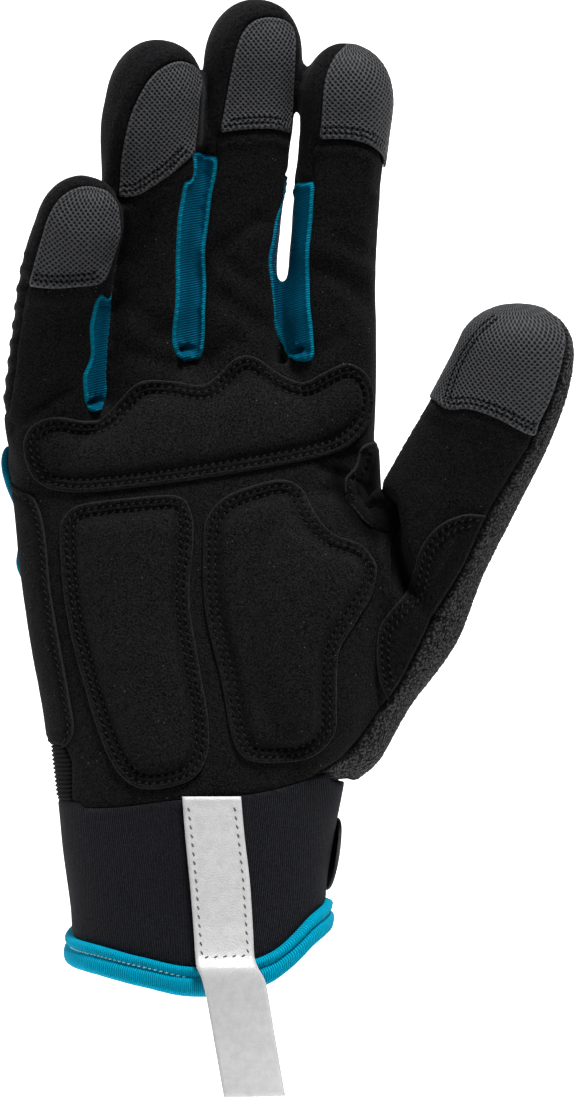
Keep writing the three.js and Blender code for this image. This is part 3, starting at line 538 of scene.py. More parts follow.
def insideOf(flat, outline):
    a = np.asarray(outline, float)
    b = np.roll(a, -1, axis=0)
    odd = np.zeros(len(flat), bool)
    for (ax, az), (bx, bz) in zip(a, b):
        if az != bz:
            crosses = (az > flat[:, 1]) != (bz > flat[:, 1])
            odd ^= crosses & (flat[:, 0] < (bx - ax) * (flat[:, 1] - az) / (bz - az) + ax)
    return odd


# Positive inside a closed outline, and never beyond `reach` away from it
def zone(points, outline, reach=12):
    flat = points[:, [0, 2]]
    outline = np.asarray(outline, float)
    near = np.all((flat > outline.min(0) - reach) & (flat < outline.max(0) + reach), axis=1)
    field = np.full(len(points), -float(reach))
    distance = lineDistance(flat[near], outline, closed=True)
    field[near] = np.where(insideOf(flat[near], outline), distance, -distance)
    return field


def both(*fields):
    return np.minimum.reduce(fields)


def either(*fields):
    return np.maximum.reduce(fields)


curves = {name: catmullRom(points, 6, closed=True) for name, points in outlines.items()}
seamCurves = {name: catmullRom(points, 6) for name, points in seams.items()}
seenCurves = {name: catmullRom(points, 4, closed=True) for name, points in seenOutlines.items()}
hemCurves = {name: catmullRom(outlines[name][first:last], 6) for name, (first, last) in hems.items()}
far = 90
cuffOutline = np.vstack([seamCurves["cuff"], [(60, -far), (-60, -far)]])
terryOutline = np.vstack([seamCurves["terry"], [(30, 30), (60, 24), (120, 60), (120, 158)]])
backOutline = np.vstack([seamCurves["thumbBack"], [(60, 24), (120, 60), (120, 180), (60, 180)]])
thumbOutline = np.vstack([seamCurves["crease"], [(60, 56), (120, 60), (120, 180), (52, 180)]])
elasticOutline = [(-60, 20), (-32.4, 20), (-32.4, 42), (-34.2, 46), (-60, 46)]


# Where the camera sees places, in the photo's pixels across and down
def seenFrom(points):
    pixel = photo["pixel"] * (photo["distance"] + points[:, 1]) / photo["distance"]
    across = photo["width"] / 2 + (points[:, 0] - photo["across"]) / pixel
    down = photo["height"] / 2 - (points[:, 2] - photo["up"]) / pixel
    return np.stack([across, points[:, 1], down], axis=1)


# How far places lie to the side and to the front of a digit's middle line
def alongDigit(points, digit):
    rows = np.array(digit["rows"])
    centres = np.vstack([rows[:, :3], digit["tip"]])
    _, across, depth = framesAlong(centres)
    best = np.full(len(points), 1e9)
    side = np.zeros(len(points))
    front = np.zeros(len(points))
    for i in range(len(centres) - 1):
        span = centres[i + 1] - centres[i]
        t = (points - centres[i]) @ span / (span @ span)
        held = np.clip(t, 0, 1)
        apart = points - centres[i] - held[:, None] * span
        distance = np.linalg.norm(apart, axis=1)
        closer = distance < best
        best = np.where(closer, distance, best)
        u = across[i] + held[:, None] * (across[i + 1] - across[i])
        v = depth[i] + held[:, None] * (depth[i + 1] - depth[i])
        side = np.where(closer, np.sum(apart * u, axis=1), side)
        front = np.where(closer, -np.sum(apart * v, axis=1), front)
    return side, front


# Fields that divide the glove into its panels: positive on the panel, in millimetres
def palmOfFinger(points, finger):
    column = table(digitColumns, finger["rows"])
    tip = finger["tip"]
    z = points[:, 2]
    rowsUp = np.append(column["z"], tip[2])
    middle = np.interp(z, rowsUp, np.append(column["x"], tip[0]))
    level = np.interp(z, rowsUp, np.append(column["y"], tip[1]))
    left = np.interp(z, column["z"], column["left"])
    right = np.interp(z, column["z"], column["right"])
    x = points[:, 0]
    return both(
        x - middle + left,
        middle + right - x,
        level - points[:, 1],
        z - column["z"][0],
        tip[2] - tipHood - z,
    )


panelLines = {
    "thumbFrom": (51, 56),  # the hand's own front ends at this x above this z
    "gussetOver": 1.2,
    "gussetSpare": 24,  # how far a gusset may pass the top of its lower finger's
    "gussetInto": 2.6,
    "gussetNarrower": 0.7,
    "tipOver": 0.8,
    "seenReach": 50,
    "frontal": (-0.04, 0.16),
    "elasticTo": 12,
    "aboveHem": 1.2,
}


def besideFinger(points, finger, side, top):
    column = table(digitColumns, finger["rows"])
    z = points[:, 2]
    middle = np.interp(z, column["z"], column["x"])
    seam = np.interp(z, column["z"], column["right" if side > 0 else "left"])
    rim = np.interp(z, column["z"], column["width"]) / 2 + panelLines["gussetOver"]
    out = side * (points[:, 0] - middle)
    return both(out - seam, rim - out, z - column["z"][0], min(finger["gussetTop"], top) - z)


def panelFields(points):
    x, y, z = points.T
    column = table(hand["columns"], hand["rows"])
    webLine = hand["webTop"] - webDrop(x)
    palmSide = np.interp(z, column["z"], column["y"]) - y
    _, thumbFront = alongDigit(points, digits["thumb"])
    thumbX, thumbZ = panelLines["thumbFrom"]
    below = both(webLine - z, either(thumbX - x, thumbZ - z))
    thumbZone = zone(points, thumbOutline)
    seen = seenFrom(points)
    frontal = smoothStep(*panelLines["frontal"], -hullFacing[:, 1])  # what is seen follows its outline

    def mixed(hidden, shown):
        return hidden + frontal * (shown - hidden)

    seenZones = {
        name: photo["pixel"] * zone(seen, curve, panelLines["seenReach"])
        for name, curve in seenCurves.items()
    }
    tipZones = {name: zone(points, curves[name]) - panelLines["tipOver"] for name in fingerNames}
    palmFingers = mixed(
        either(*(palmOfFinger(points, digits[name]) for name in fingerNames)),
        either(*(either(seenZones[name], tipZones[name]) for name in fingerNames)),
    )
    gussets = {}
    for left, right in zip(fingerNames, fingerNames[1:]):
        name = "gusset_" + "_".join(sorted((left, right), key=gussetOrder.index))
        top = digits[left]["gussetTop"] + panelLines["gussetSpare"]
        between = either(
            besideFinger(points, digits[left], 1, top), besideFinger(points, digits[right], -1, top)
        )
        hidden = both(between, z - webLine + panelLines["gussetInto"]) - panelLines["gussetNarrower"]
        gussets[name] = mixed(hidden, seenZones[name])
    return {
        **gussets,
        "terry": either(zone(points, terryOutline), both(zone(points, backOutline), -thumbFront)),
        "cuff": zone(points, cuffOutline, 40),
        "elastic": both(zone(points, elasticOutline), panelLines["elasticTo"] - y),
        "front": either(both(below, palmSide), both(thumbZone, thumbFront), palmFingers),
        "thumb": thumbZone,
        "hem": z - panelLines["aboveHem"] - hemDip(turnOf(x, y, hand["rows"][0])),
    }, thumbFront


fields, hullThumbFront = panelFields(hullPlaces)
handColumn = table(hand["columns"], hand["rows"])
palmSide = np.interp(hullPlaces[:, 2], handColumn["z"], handColumn["y"]) - hullPlaces[:, 1]


# Press the creases and slow waves into the hull, and puff the knit up round the fingertip patches
tipPuff = {
    "rise": 0.6, "at": 2.4, "wide": 1.7, "reach": 11, "sink": 0.9, "sinkFade": (-0.6, 0.9),
    "clearOfHem": 2.6,
}


def wearHull():
    points = hullPlaces
    flat = points[:, [0, 2]]
    toViewer = np.clip(-hullFacing[:, 1] * 2, 0, 1)
    push = np.zeros(len(points))
    for crease in creases:
        distance = lineDistance(flat, catmullRom(crease["line"], 5))
        push -= crease["deep"] * bell(distance, crease["wide"]) * toViewer
    for name, curve in hemCurves.items():
        inside = zone(points, curves[name])
        beyondHem = 1 - bell(lineDistance(flat, curve), tipPuff["clearOfHem"])
        puff = tipPuff["rise"] * bell(inside + tipPuff["at"], tipPuff["wide"])
        puff = np.where(inside > -tipPuff["reach"], puff, 0)
        puff -= tipPuff["sink"] * smoothStep(*tipPuff["sinkFade"], inside)
        push += puff * beyondHem * toViewer
    for size, height in (("unevenSize", "unevenHeight"), ("crumpleSize", "crumpleHeight")):
        waves = np.array([noise.noise(Vector(point) / hull[size]) for point in points])
        if size == "crumpleSize":
            z = points[:, 2]
            waves *= smoothStep(0, hull["crumpleFadeIn"], z - hull["crumpleFrom"])
            waves *= smoothStep(0, hull["crumpleFadeOut"], hull["crumpleTo"] - z)
            waves *= toViewer * (1 - smoothStep(*hull["smoothRight"], points[:, 0]))
        push += hull[height] * waves
    for vert, place in zip(hullMesh.vertices, points + hullFacing * push[:, None]):
        vert.co = place
    hullMesh.update()


wearHull()
print("hull worn in")


# Splits a surface along the zero line of a field that its vertices hold. Vertices close to the
# line slide onto it, so that no slivers are left.
def splitAlong(bm, share, layers, slide=0.25):
    crossing = [edge for edge in bm.edges if edge.verts[0][share] * edge.verts[1][share] < 0]
    slides = {}
    for edge in crossing:
        first, second = edge.verts
        t = first[share] / (first[share] - second[share])
        for vert, other, reach in ((first, second, t), (second, first, 1 - t)):
            if reach < slides.get(vert, (slide,))[0] and all(vert[layer] for layer in layers):
                slides[vert] = (reach, other)
    moved = []
    for vert, (reach, other) in slides.items():
        values = [vert[layer] + reach * (other[layer] - vert[layer]) for layer in layers]
        moved.append((vert, vert.co.lerp(other.co, reach), values))
    for vert, place, values in moved:
        vert.co = place
        for layer, value in zip(layers, values):
            vert[layer] = value
        vert[share] = 0.0
    for edge in crossing:
        first, second = edge.verts
        if first[share] * second[share] < 0:
            t = first[share] / (first[share] - second[share])
            bmesh.utils.edge_split(edge, first, t)[1][share] = 0.0
    onLine = [vert for vert in bm.verts if vert[share] == 0.0]
    bmesh.ops.connect_verts(bm, verts=onLine)


def holdFields(bm, fields):
    layers = []
    for name, field in fields.items():
        layer = bm.verts.layers.float.new(name)
        for vert, amount in zip(bm.verts, field.tolist()):
            vert[layer] = amount
        layers.append(layer)
    return layers


# The part of a surface where a field is positive
def cutPanel(source, field, smallest=0.05):
    bm = bmOf(source)
    (share,) = holdFields(bm, {"share": field})
    outside = [face for face in bm.faces if all(vert[share] <= 0 for vert in face.verts)]
    bmesh.ops.delete(bm, geom=outside, context="FACES")
    splitAlong(bm, share, [share])
    outside = [face for face in bm.faces if any(vert[share] < 0 for vert in face.verts)]
    bmesh.ops.delete(bm, geom=outside, context="FACES")
    keepLarge(bm, smallest)
    return bm


# Patches of joined faces that have the same owner
def islandsOf(bm, owners):
    bm.faces.index_update()
    seen = set()
    islands = []
    for seed in bm.faces:
        if seed in seen:
            continue
        seen.add(seed)
        island = [seed]
        for face in island:
            for edge in face.edges:
                for near in edge.link_faces:
                    if near not in seen and owners[near.index] == owners[seed.index]:
                        seen.add(near)
                        island.append(near)
        islands.append(island)
    return islands


# Deletes islands smaller than a share of all faces
def keepLarge(bm, smallest):
    least = smallest * len(bm.faces)
    islands = islandsOf(bm, [0] * len(bm.faces))
    crumbs = [face for island in islands if len(island) < least for face in island]
    bmesh.ops.delete(bm, geom=crumbs, context="FACES")


# Gives islands that are too small to be a panel to the owner next to them
def joinCrumbs(bm, owners, smallest=150):
    for island in islandsOf(bm, owners):
        if len(island) < smallest:
            around = [
                owners[near.index] for face in island for edge in face.edges for near in edge.link_faces
                if owners[near.index] != owners[face.index]
            ]
            heir = max(sorted(set(around), key=str), key=around.count, default=None)
            for face in island:
                owners[face.index] = heir


# The name of the panel that a face belongs to
def panelOf(face, layers):
    lean = {name: sum(vert[layer] for vert in face.verts) > 0 for name, layer in layers.items()}
    if lean["cuff"]:
        return "cuff" if lean["hem"] else None
    if lean["terry"]:
        return "thumb_terry"
    if lean["elastic"]:
        return "side_elastic"
    for name in layers:
        if name.startswith("gusset") and lean[name]:
            return name
    if not lean["front"]:
        return "back_panel"
    return "thumb_panel" if lean["thumb"] else "palm_panel"


# Cuts the whole hull into its panels, which share their seam lines
def cutHull():
    bm = bmOf(hullMesh)
    layers = holdFields(bm, fields)
    for layer in layers:
        splitAlong(bm, layer, layers)
    named = dict(zip(fields, layers))
    owners = [panelOf(face, named) for face in bm.faces]
    joinCrumbs(bm, owners)
    parts = {}
    for name in sorted(set(filter(None, owners))):
        part = bm.copy()
        others = [face for face, owner in zip(part.faces, owners) if owner != name]
        bmesh.ops.delete(part, geom=others, context="FACES")
        parts[name] = part
    bm.free()
    return parts


def refined(bm, levels):
    settings = {"levels": levels, "render_levels": levels}
    return bmOf(applied(meshOf(bm, "coarse"), ("SUBSURF", settings)))


# Distance of every vertex to the border of an open surface
def borderDistance(bm):
    rims = [edge for edge in bm.edges if edge.is_boundary]
    tree = KDTree(len(rims) * 3)
    for i, edge in enumerate(rims):
        a, b = edge.verts
        for k in range(3):
            tree.insert(a.co.lerp(b.co, (k + 0.5) / 3), 3 * i + k)
    tree.balance()
    return np.array([tree.find(vert.co)[2] for vert in bm.verts])


def lift(bm, heights):
    bm.normal_update()
    moves = [(vert, vert.normal * height) for vert, height in zip(bm.verts, heights)]
    for vert, move in moves:
        vert.co += move


def profile(distance, steps):
    at, height = zip(*steps)
    return np.interp(distance, at, height)


def roughNoise(bm, size, height):
    return [height * noise.noise(vert.co / size) for vert in bm.verts]


# Materials
def sRGB(code):
    parts = [int(code[i : i + 2], 16) / 255 for i in (0, 2, 4)]
    return (*(c / 12.92 if c <= 0.04045 else ((c + 0.055) / 1.055) ** 2.4 for c in parts), 1)


def setInputs(tree, node, inputs):
    for name, value in inputs.items():
        if isinstance(value, bpy.types.NodeSocket):
            tree.links.new(value, node.inputs[name])
        else:
            node.inputs[name].default_value = value


# Adds a node and gives one of its outputs. A colour Mix has its share and two colours at 0, 6 and 7.
def addNode(tree, kind, inputs, output=0, **settings):
    node = tree.nodes.new("ShaderNode" + kind)
    for name, value in settings.items():
        setattr(node, name, value)
    setInputs(tree, node, inputs)
    return node.outputs[output]


def newMaterial(name):
    material = bpy.data.materials.new(name)
    material.use_nodes = True
    return material, material.node_tree, material.node_tree.nodes["Principled BSDF"]


# Texture scales from a real size in millimetres
def perMetre(pitch):
    return 1000 / pitch


def bandsPerMetre(pitch):
    return 2 * pi / 20 * perMetre(pitch)


# Microfibre suede: matt, a fine grain, faint mottling, a few bright specks of lint
suedeLook = {
    "dark": "030303", "light": "252526", "rim": "303031", "lint": "6a6a6c", "pressed_nap_and_shade": "040404",
    "grain": 0.42, "mottle": 5.0, "lintPitch": 1.5, "lintPatch": 3.0, "nap": 2.2,
}


def suedeMaterial(name, look):
    material, tree, shader = newMaterial(name)
    light = sRGB(look["light"])
    place = addNode(tree, "TexCoord", {}, "Object")
    mottle = addNode(tree, "TexNoise", {
        "Vector": place, "Scale": perMetre(look["mottle"]), "Detail": 4.0, "Roughness": 0.6,
    })
    mottle = addNode(tree, "MapRange", {"Value": mottle, "From Min": 0.35, "From Max": 0.65, "To Max": 0.14})
    grain = addNode(tree, "TexNoise", {"Vector": place, "Scale": perMetre(look["grain"]), "Roughness": 0.6})
    fibre = addNode(tree, "MapRange", {"Value": grain, "From Min": 0.36, "From Max": 0.68})
    tone = addNode(tree, "Mix", {0: fibre, 6: sRGB(look["dark"]), 7: light}, 2, data_type="RGBA")
    tone = addNode(tree, "Mix", {0: mottle, 6: tone, 7: light}, 2, data_type="RGBA")
    lint = addNode(tree, "TexVoronoi", {"Vector": place, "Scale": perMetre(look["lintPitch"])})
    lint = addNode(tree, "Math", {0: lint, 1: 0.09}, operation="LESS_THAN")
    rare = addNode(tree, "TexNoise", {"Vector": place, "Scale": perMetre(look["lintPatch"])})
    rare = addNode(tree, "Math", {0: rare, 1: 0.6}, operation="GREATER_THAN")
    lint = addNode(tree, "Math", {0: lint, 1: rare}, operation="MULTIPLY")
    tone = addNode(tree, "Mix", {0: lint, 6: tone, 7: sRGB(look["lint"])}, 2, data_type="RGBA")
    pressed_nap_and_shade = addNode(tree, "Attribute", {}, "Fac", attribute_name="pressed_nap_and_shade")  # nap pressed flat along seams is darker; in folds and ditches this darkening is painted shade
    pressed_nap_and_shade = addNode(tree, "Math", {0: pressed_nap_and_shade, 1: 0.3}, operation="MULTIPLY")
    tone = addNode(tree, "Mix", {0: pressed_nap_and_shade, 6: tone, 7: sRGB(look["pressed_nap_and_shade"])}, 2, data_type="RGBA")
    # painted highlight along the cut edges of pads and patches
    rim = addNode(tree, "Attribute", {}, "Fac", attribute_name="rim")
    tone = addNode(tree, "Mix", {0: rim, 6: tone, 7: sRGB(look["rim"])}, 2, data_type="RGBA")
    nap = addNode(tree, "TexNoise", {
        "Vector": place, "Scale": perMetre(look["nap"]), "Detail": 3.0, "Roughness": 0.6,
    })
    coarse = addNode(tree, "Bump", {"Height": nap, "Distance": 0.22 * millimetre})
    setInputs(tree, shader, {
        "Base Color": tone, "Roughness": 0.92, "Specular IOR Level": 0.04,
        "Sheen Weight": 0.02, "Sheen Roughness": 0.5,
        "Normal": addNode(tree, "Bump", {
            "Height": grain, "Distance": 0.3 * millimetre, "Normal": coarse,
        }),
    })
    return material


# Brushed jersey over the back and fingertips: fine loops under a short nap
knitLook = {"dark": "060607", "light": "1f1f21", "pitch": 0.8, "nap": 0.5}


def knitMaterial(name, look):
    material, tree, shader = newMaterial(name)
    place = addNode(tree, "TexCoord", {}, "Object")
    loops = addNode(tree, "TexVoronoi", {
        "Vector": place, "Scale": perMetre(look["pitch"]), "Randomness": 0.8,
    })
    nap = addNode(tree, "TexNoise", {
        "Vector": place, "Scale": perMetre(look["nap"]), "Detail": 3.0, "Roughness": 0.7,
    })
    sunk = addNode(tree, "Math", {0: loops, 1: 0.35}, operation="MULTIPLY")
    rise = addNode(tree, "Math", {0: nap, 1: sunk}, operation="SUBTRACT")
    share = addNode(tree, "MapRange", {"Value": rise, "From Min": 0.15, "From Max": 0.5})
    tone = {0: share, 6: sRGB(look["dark"]), 7: sRGB(look["light"])}
    setInputs(tree, shader, {
        "Base Color": addNode(tree, "Mix", tone, 2, data_type="RGBA"),
        "Roughness": 0.9, "Specular IOR Level": 0.08, "Sheen Weight": 0.05, "Sheen Roughness": 0.4,
        "Normal": addNode(tree, "Bump", {"Height": rise, "Distance": 0.3 * millimetre}),
    })
    return material


# Rubberised grip mesh on the fingertips: a woven sheet with a slanted lattice of sunk dots
gripLook = {
    "field": "5c5d60", "dot": "050506", "edge": "6a6b6e", "pitch": 1.02, "slant": 38, "fuzz": 0.5,
}


def gripMaterial(name, look):
    material, tree, shader = newMaterial(name)
    dot = sRGB(look["dot"])
    flat = addNode(tree, "UVMap", {}, uv_map="cloth")
    turned = addNode(tree, "Mapping", {"Vector": flat, "Rotation": (0, 0, radians(look["slant"]))})
    lattice = addNode(tree, "TexVoronoi", {
        "Vector": turned, "Scale": perMetre(look["pitch"]), "Randomness": 0.1,
    }, voronoi_dimensions="2D")
    place = addNode(tree, "TexCoord", {}, "Object")
    fuzz = addNode(tree, "TexNoise", {
        "Vector": place, "Scale": perMetre(look["fuzz"]), "Detail": 3.0, "Roughness": 0.6,
    })
    field = addNode(tree, "MapRange", {"Value": lattice, "From Min": 0.24, "From Max": 0.46})
    tone = addNode(tree, "Mix", {0: field, 6: dot, 7: sRGB(look["field"])}, 2, data_type="RGBA")
    dust = addNode(tree, "Math", {0: fuzz, 1: 0.45}, operation="MULTIPLY")
    tone = addNode(tree, "Mix", {0: dust, 6: tone, 7: dot}, 2, data_type="RGBA")
    # painted highlight along the patch's edge
    rim = addNode(tree, "Attribute", {}, "Fac", attribute_name="rim")
    tone = addNode(tree, "Mix", {0: rim, 6: tone, 7: sRGB(look["edge"])}, 2, data_type="RGBA")
    dents = addNode(tree, "Bump", {"Height": field, "Distance": 0.25 * millimetre})
    setInputs(tree, shader, {
        "Base Color": tone, "Roughness": 0.6, "Specular IOR Level": 0.2,
        "Normal": addNode(tree, "Bump", {
            "Height": fuzz, "Distance": 0.1 * millimetre, "Normal": dents,
        }),
    })
    return material


# Satin rib between the fingers: fine cross ribs, a painted highlight on the rolled edges, painted shade
# where the cloth sinks
tealLook = {"deep": "002838", "mid": "005f80", "bright": "0094b4", "pitch": 0.6, "slant": 14}


def ribbedTealMaterial(name, look):
    material, tree, shader = newMaterial(name)
    deep = sRGB(look["deep"])
    place = addNode(tree, "TexCoord", {}, "Object")
    turned = addNode(tree, "Mapping", {"Vector": place, "Rotation": (0, radians(look["slant"]), 0)})
    ribs = addNode(tree, "TexWave", {
        "Vector": turned, "Scale": bandsPerMetre(look["pitch"]), "Distortion": 0.8,
        "Detail": 1.0, "Detail Scale": 0.4,
    }, "Fac", bands_direction="Z")
    # painted highlight on the rolled edges
    rim = addNode(tree, "Attribute", {}, "Fac", attribute_name="rim")
    tone = {0: rim, 6: sRGB(look["mid"]), 7: sRGB(look["bright"])}
    tone = addNode(tree, "Mix", tone, 2, data_type="RGBA")
    # painted shade in the sunk middle and the tuck's hole
    sunk = addNode(tree, "Attribute", {}, "Fac", attribute_name="deep")
    tone = addNode(tree, "Mix", {0: sunk, 6: tone, 7: deep}, 2, data_type="RGBA")
    furrow = addNode(tree, "MapRange", {"Value": ribs, "To Min": 0.5, "To Max": 0.0})
    tone = addNode(tree, "Mix", {0: furrow, 6: tone, 7: deep}, 2, data_type="RGBA")
    setInputs(tree, shader, {
        "Base Color": tone, "Roughness": 0.7, "Specular IOR Level": 0.04,
        "Normal": addNode(tree, "Bump", {"Height": ribs, "Distance": 0.16 * millimetre}),
    })
    return material


# Terry sweat cloth round the thumb's outer side
terryLook = {"dark": "020202", "light": "565658", "pitch": 0.75, "fibre": 0.5}


def terryMaterial(name, look):
    material, tree, shader = newMaterial(name)
    dark = sRGB(look["dark"])
    place = addNode(tree, "TexCoord", {}, "Object")
    cells = addNode(tree, "TexVoronoi", {"Vector": place, "Scale": perMetre(look["pitch"])})
    fibre = addNode(tree, "TexNoise", {
        "Vector": place, "Scale": perMetre(look["fibre"]), "Detail": 3.0, "Roughness": 0.65,
    })
    loops = addNode(tree, "Math", {0: fibre, 1: cells}, operation="SUBTRACT")
    share = addNode(tree, "MapRange", {"Value": loops, "From Min": -0.1, "From Max": 0.3})
    tone = addNode(tree, "Mix", {0: share, 6: dark, 7: sRGB(look["light"])}, 2, data_type="RGBA")
    # painted shade in the valley along the terry's seams
    pressed_nap_and_shade = addNode(tree, "Attribute", {}, "Fac", attribute_name="pressed_nap_and_shade")
    tone = addNode(tree, "Mix", {0: pressed_nap_and_shade, 6: tone, 7: dark}, 2, data_type="RGBA")
    setInputs(tree, shader, {
        "Base Color": tone, "Roughness": 1.0, "Specular IOR Level": 0.06,
        "Sheen Weight": 0.15, "Sheen Roughness": 0.5,
        "Normal": addNode(tree, "Bump", {"Height": loops, "Distance": 0.7 * millimetre}),
    })
    return material


# Ribbed cloths, their ribs counted along the cloth in the piece's own UV
def ribbedMaterial(name, look):
    material, tree, shader = newMaterial(name)
    dark = sRGB(look["dark"])
    flat = addNode(tree, "UVMap", {}, uv_map="cloth")
    ribs = addNode(tree, "TexWave", {
        "Vector": flat, "Scale": bandsPerMetre(look["pitch"]), "Distortion": look["waver"],
        "Detail": 2.0, "Detail Scale": 1.5,
    }, "Fac", bands_direction=look["along"])
    place = addNode(tree, "TexCoord", {}, "Object")
    fuzz = addNode(tree, "TexNoise", {
        "Vector": place, "Scale": perMetre(0.5), "Detail": 3.0, "Roughness": 0.6,
    })
    tone = addNode(tree, "Mix", {0: ribs, 6: dark, 7: sRGB(look["light"])}, 2, data_type="RGBA")
    share = addNode(tree, "MapRange", {
        "Value": fuzz, "From Min": 0.3, "From Max": 0.7, "To Max": look["fuzz"],
    })
    tone = addNode(tree, "Mix", {0: share, 6: tone, 7: dark}, 2, data_type="RGBA")
    ridges = addNode(tree, "Bump", {
        "Height": ribs, "Distance": look["depth"] * millimetre,
    })
    setInputs(tree, shader, {
        "Base Color": tone, "Roughness": look["rough"], "Specular IOR Level": look["gloss"],
        "Normal": addNode(tree, "Bump", {
            "Height": fuzz, "Distance": 0.08 * millimetre, "Normal": ridges,
        }),
    })
    return material


# Reflective tape: fine glass beads on grey cloth
tapeLook = {"top": "e2e2e2", "worn": "d6d6d6", "bead": 0.35, "wear": 2.4}


def tapeMaterial(name, look):
    material, tree, shader = newMaterial(name)
    place = addNode(tree, "TexCoord", {}, "Object")
    bead = {"Vector": place, "Scale": perMetre(look["bead"])}
    height = addNode(tree, "TexVoronoi", bead)
    sparkle = addNode(tree, "TexVoronoi", bead, "Color")
    wear = addNode(tree, "TexNoise", {
        "Vector": place, "Scale": perMetre(look["wear"]), "Detail": 4.0, "Roughness": 0.7,
    })
    share = addNode(tree, "MapRange", {"Value": wear, "From Min": 0.4, "From Max": 0.66})
    tone = {0: share, 6: sRGB(look["top"]), 7: sRGB(look["worn"])}
    setInputs(tree, shader, {
        "Base Color": addNode(tree, "Mix", tone, 2, data_type="RGBA"), "Metallic": 0.1,
        "Roughness": addNode(tree, "MapRange", {"Value": sparkle, "To Min": 0.35, "To Max": 0.7}),
        "Normal": addNode(tree, "Bump", {"Height": height, "Distance": 0.06 * millimetre}),
    })
    return material


# Sewing thread and hook tape: plain black nylon
def plainMaterial(name, code, rough):
    material, tree, shader = newMaterial(name)
    place = addNode(tree, "TexCoord", {}, "Object")
    fibre = addNode(tree, "TexNoise", {
        "Vector": place, "Scale": perMetre(0.6), "Detail": 3.0, "Roughness": 0.6,
    })
    setInputs(tree, shader, {
        "Base Color": sRGB(code), "Roughness": rough, "Specular IOR Level": 0.12,
        "Normal": addNode(tree, "Bump", {"Height": fibre, "Distance": 0.15 * millimetre}),
    })
    return material


cuffLook = {
    "dark": "0b0b0d", "light": "35363d", "pitch": 0.6, "along": "X", "depth": 0.14, "waver": 1.2,
    "fuzz": 0.9, "rough": 0.85, "gloss": 0.12,
}
elasticLook = {
    "dark": "060607", "light": "303033", "pitch": 1.1, "along": "Y", "depth": 0.4, "waver": 0.6,
    "fuzz": 0.5, "rough": 0.9, "gloss": 0.08,
}
bindingLook = {
    "dark": "007898", "light": "00c4ea", "pitch": 0.65, "along": "X", "depth": 0.14, "waver": 1.0,
    "fuzz": 0.4, "rough": 0.75, "gloss": 0.03,
}
paddedLook = {**suedeLook, "dark": "040404", "light": "282829"}
materials = {
    "suede": suedeMaterial("microfibre_suede", suedeLook),
    "paddedSuede": suedeMaterial("padded_microfibre_suede", paddedLook),
    "knit": knitMaterial("jersey_knit", knitLook),
    "grip": gripMaterial("grip_mesh", gripLook),
    "teal": ribbedTealMaterial("ribbed_satin", tealLook),
    "terry": terryMaterial("terry_cloth", terryLook),
    "cuff": ribbedMaterial("ribbed_neoprene_cloth", cuffLook),
    "elastic": ribbedMaterial("ribbed_elastic", elasticLook),
    "binding": ribbedMaterial("teal_elastic_tape", bindingLook),
    "tape": tapeMaterial("reflective_tape", tapeLook),
    "hook": plainMaterial("hook_and_loop_tape", "4c4c4e", 0.95),
    "thread": plainMaterial("nylon_thread", "262628", 0.6),
    "tapeThread": plainMaterial("dark_nylon_thread", "6a6a6c", 0.6),
    # dark discs of painted shade for the needle holes
    "hole": plainMaterial("needle_hole_shade", "020202", 1.0),
    "paleThread": plainMaterial("pale_nylon_thread", "a9dde6", 0.5),
}
print("materials:", len(materials))


# Finished pieces: from millimetres to metres, smooth and in one material
def finishMesh(mesh, material):
    mesh.transform(Matrix.Scale(millimetre, 4))
    mesh.materials.append(material)
    mesh.polygons.foreach_set("use_smooth", [True] * len(mesh.polygons))
    mesh.update()


def setAttribute(bm, name, values):
    layer = bm.verts.layers.float.new(name)
    for vert, value in zip(bm.verts, values):
        vert[layer] = float(value)


# Flat cloth coordinates in metres; `turn` is the length at which they wrap
def setCloth(bm, u, v, turn=None):
    layer = bm.loops.layers.uv.new("cloth")
    bm.verts.index_update()
    for face in bm.faces:
        along = [u[loop.vert.index] for loop in face.loops]
        wraps = turn and max(along) - min(along) > turn / 2
        for loop, a in zip(face.loops, along):
            a = a + turn if wraps and a < 0 else a
            loop[layer].uv = (a * millimetre, v[loop.vert.index] * millimetre)


# `kept` is the share of faces that a smooth panel keeps
def finishPiece(bm, name, material, slot, nodes=(), thickness=0, kept=1):
    mesh = meshOf(bm, name)
    if kept < 1:
        mesh = applied(mesh, ("DECIMATE", {"ratio": kept}))
    if thickness:
        settings = {"thickness": thickness, "offset": -1, "use_even_offset": False, "use_rim": True}
        mesh = applied(mesh, ("SOLIDIFY", settings))
    mesh.name = name
    finishMesh(mesh, materials[material])
    obj = addObject(name, mesh)
    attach(obj, "root")
    if nodes:
        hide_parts(*nodes)
    return obj


# Shell panels: each rolls in at its seams
hullParts = cutHull()
print("hull cut into", len(hullParts), "panels")
panels = {
    "palm_panel": {"material": "suede", "slot": "suede", "roll": 1.5, "sink": 0.8, "kept": 0.8},
    "thumb_panel": {"material": "suede", "slot": "suede", "roll": 1.5, "sink": 0.8, "kept": 1},
    "back_panel": {"material": "knit", "slot": "back_knit", "roll": 2.2, "sink": 1.1, "kept": 0.4},
}
wallThickness = 1.2


def rollIn(distance, roll, sink):
    return -sink * (1 - np.clip(distance / roll, 0, 1)) ** 2


# Soft ribs in the knit beside the little finger
sideRibs = {
    "low": 126, "high": 172, "fade": 3, "pitch": 4.6, "height": 0.42, "broader": 0.3, "edge": (38, 43),
}


def ribHeights(points):
    x, _, z = points.T
    fade = sideRibs["fade"]
    window = smoothStep(0, fade, z - sideRibs["low"]) * smoothStep(0, fade, sideRibs["high"] - z)
    wave = np.clip(np.sin(2 * pi * z / sideRibs["pitch"]) + sideRibs["broader"], 0, 1)
    return sideRibs["height"] * window * wave * smoothStep(*sideRibs["edge"], -x)


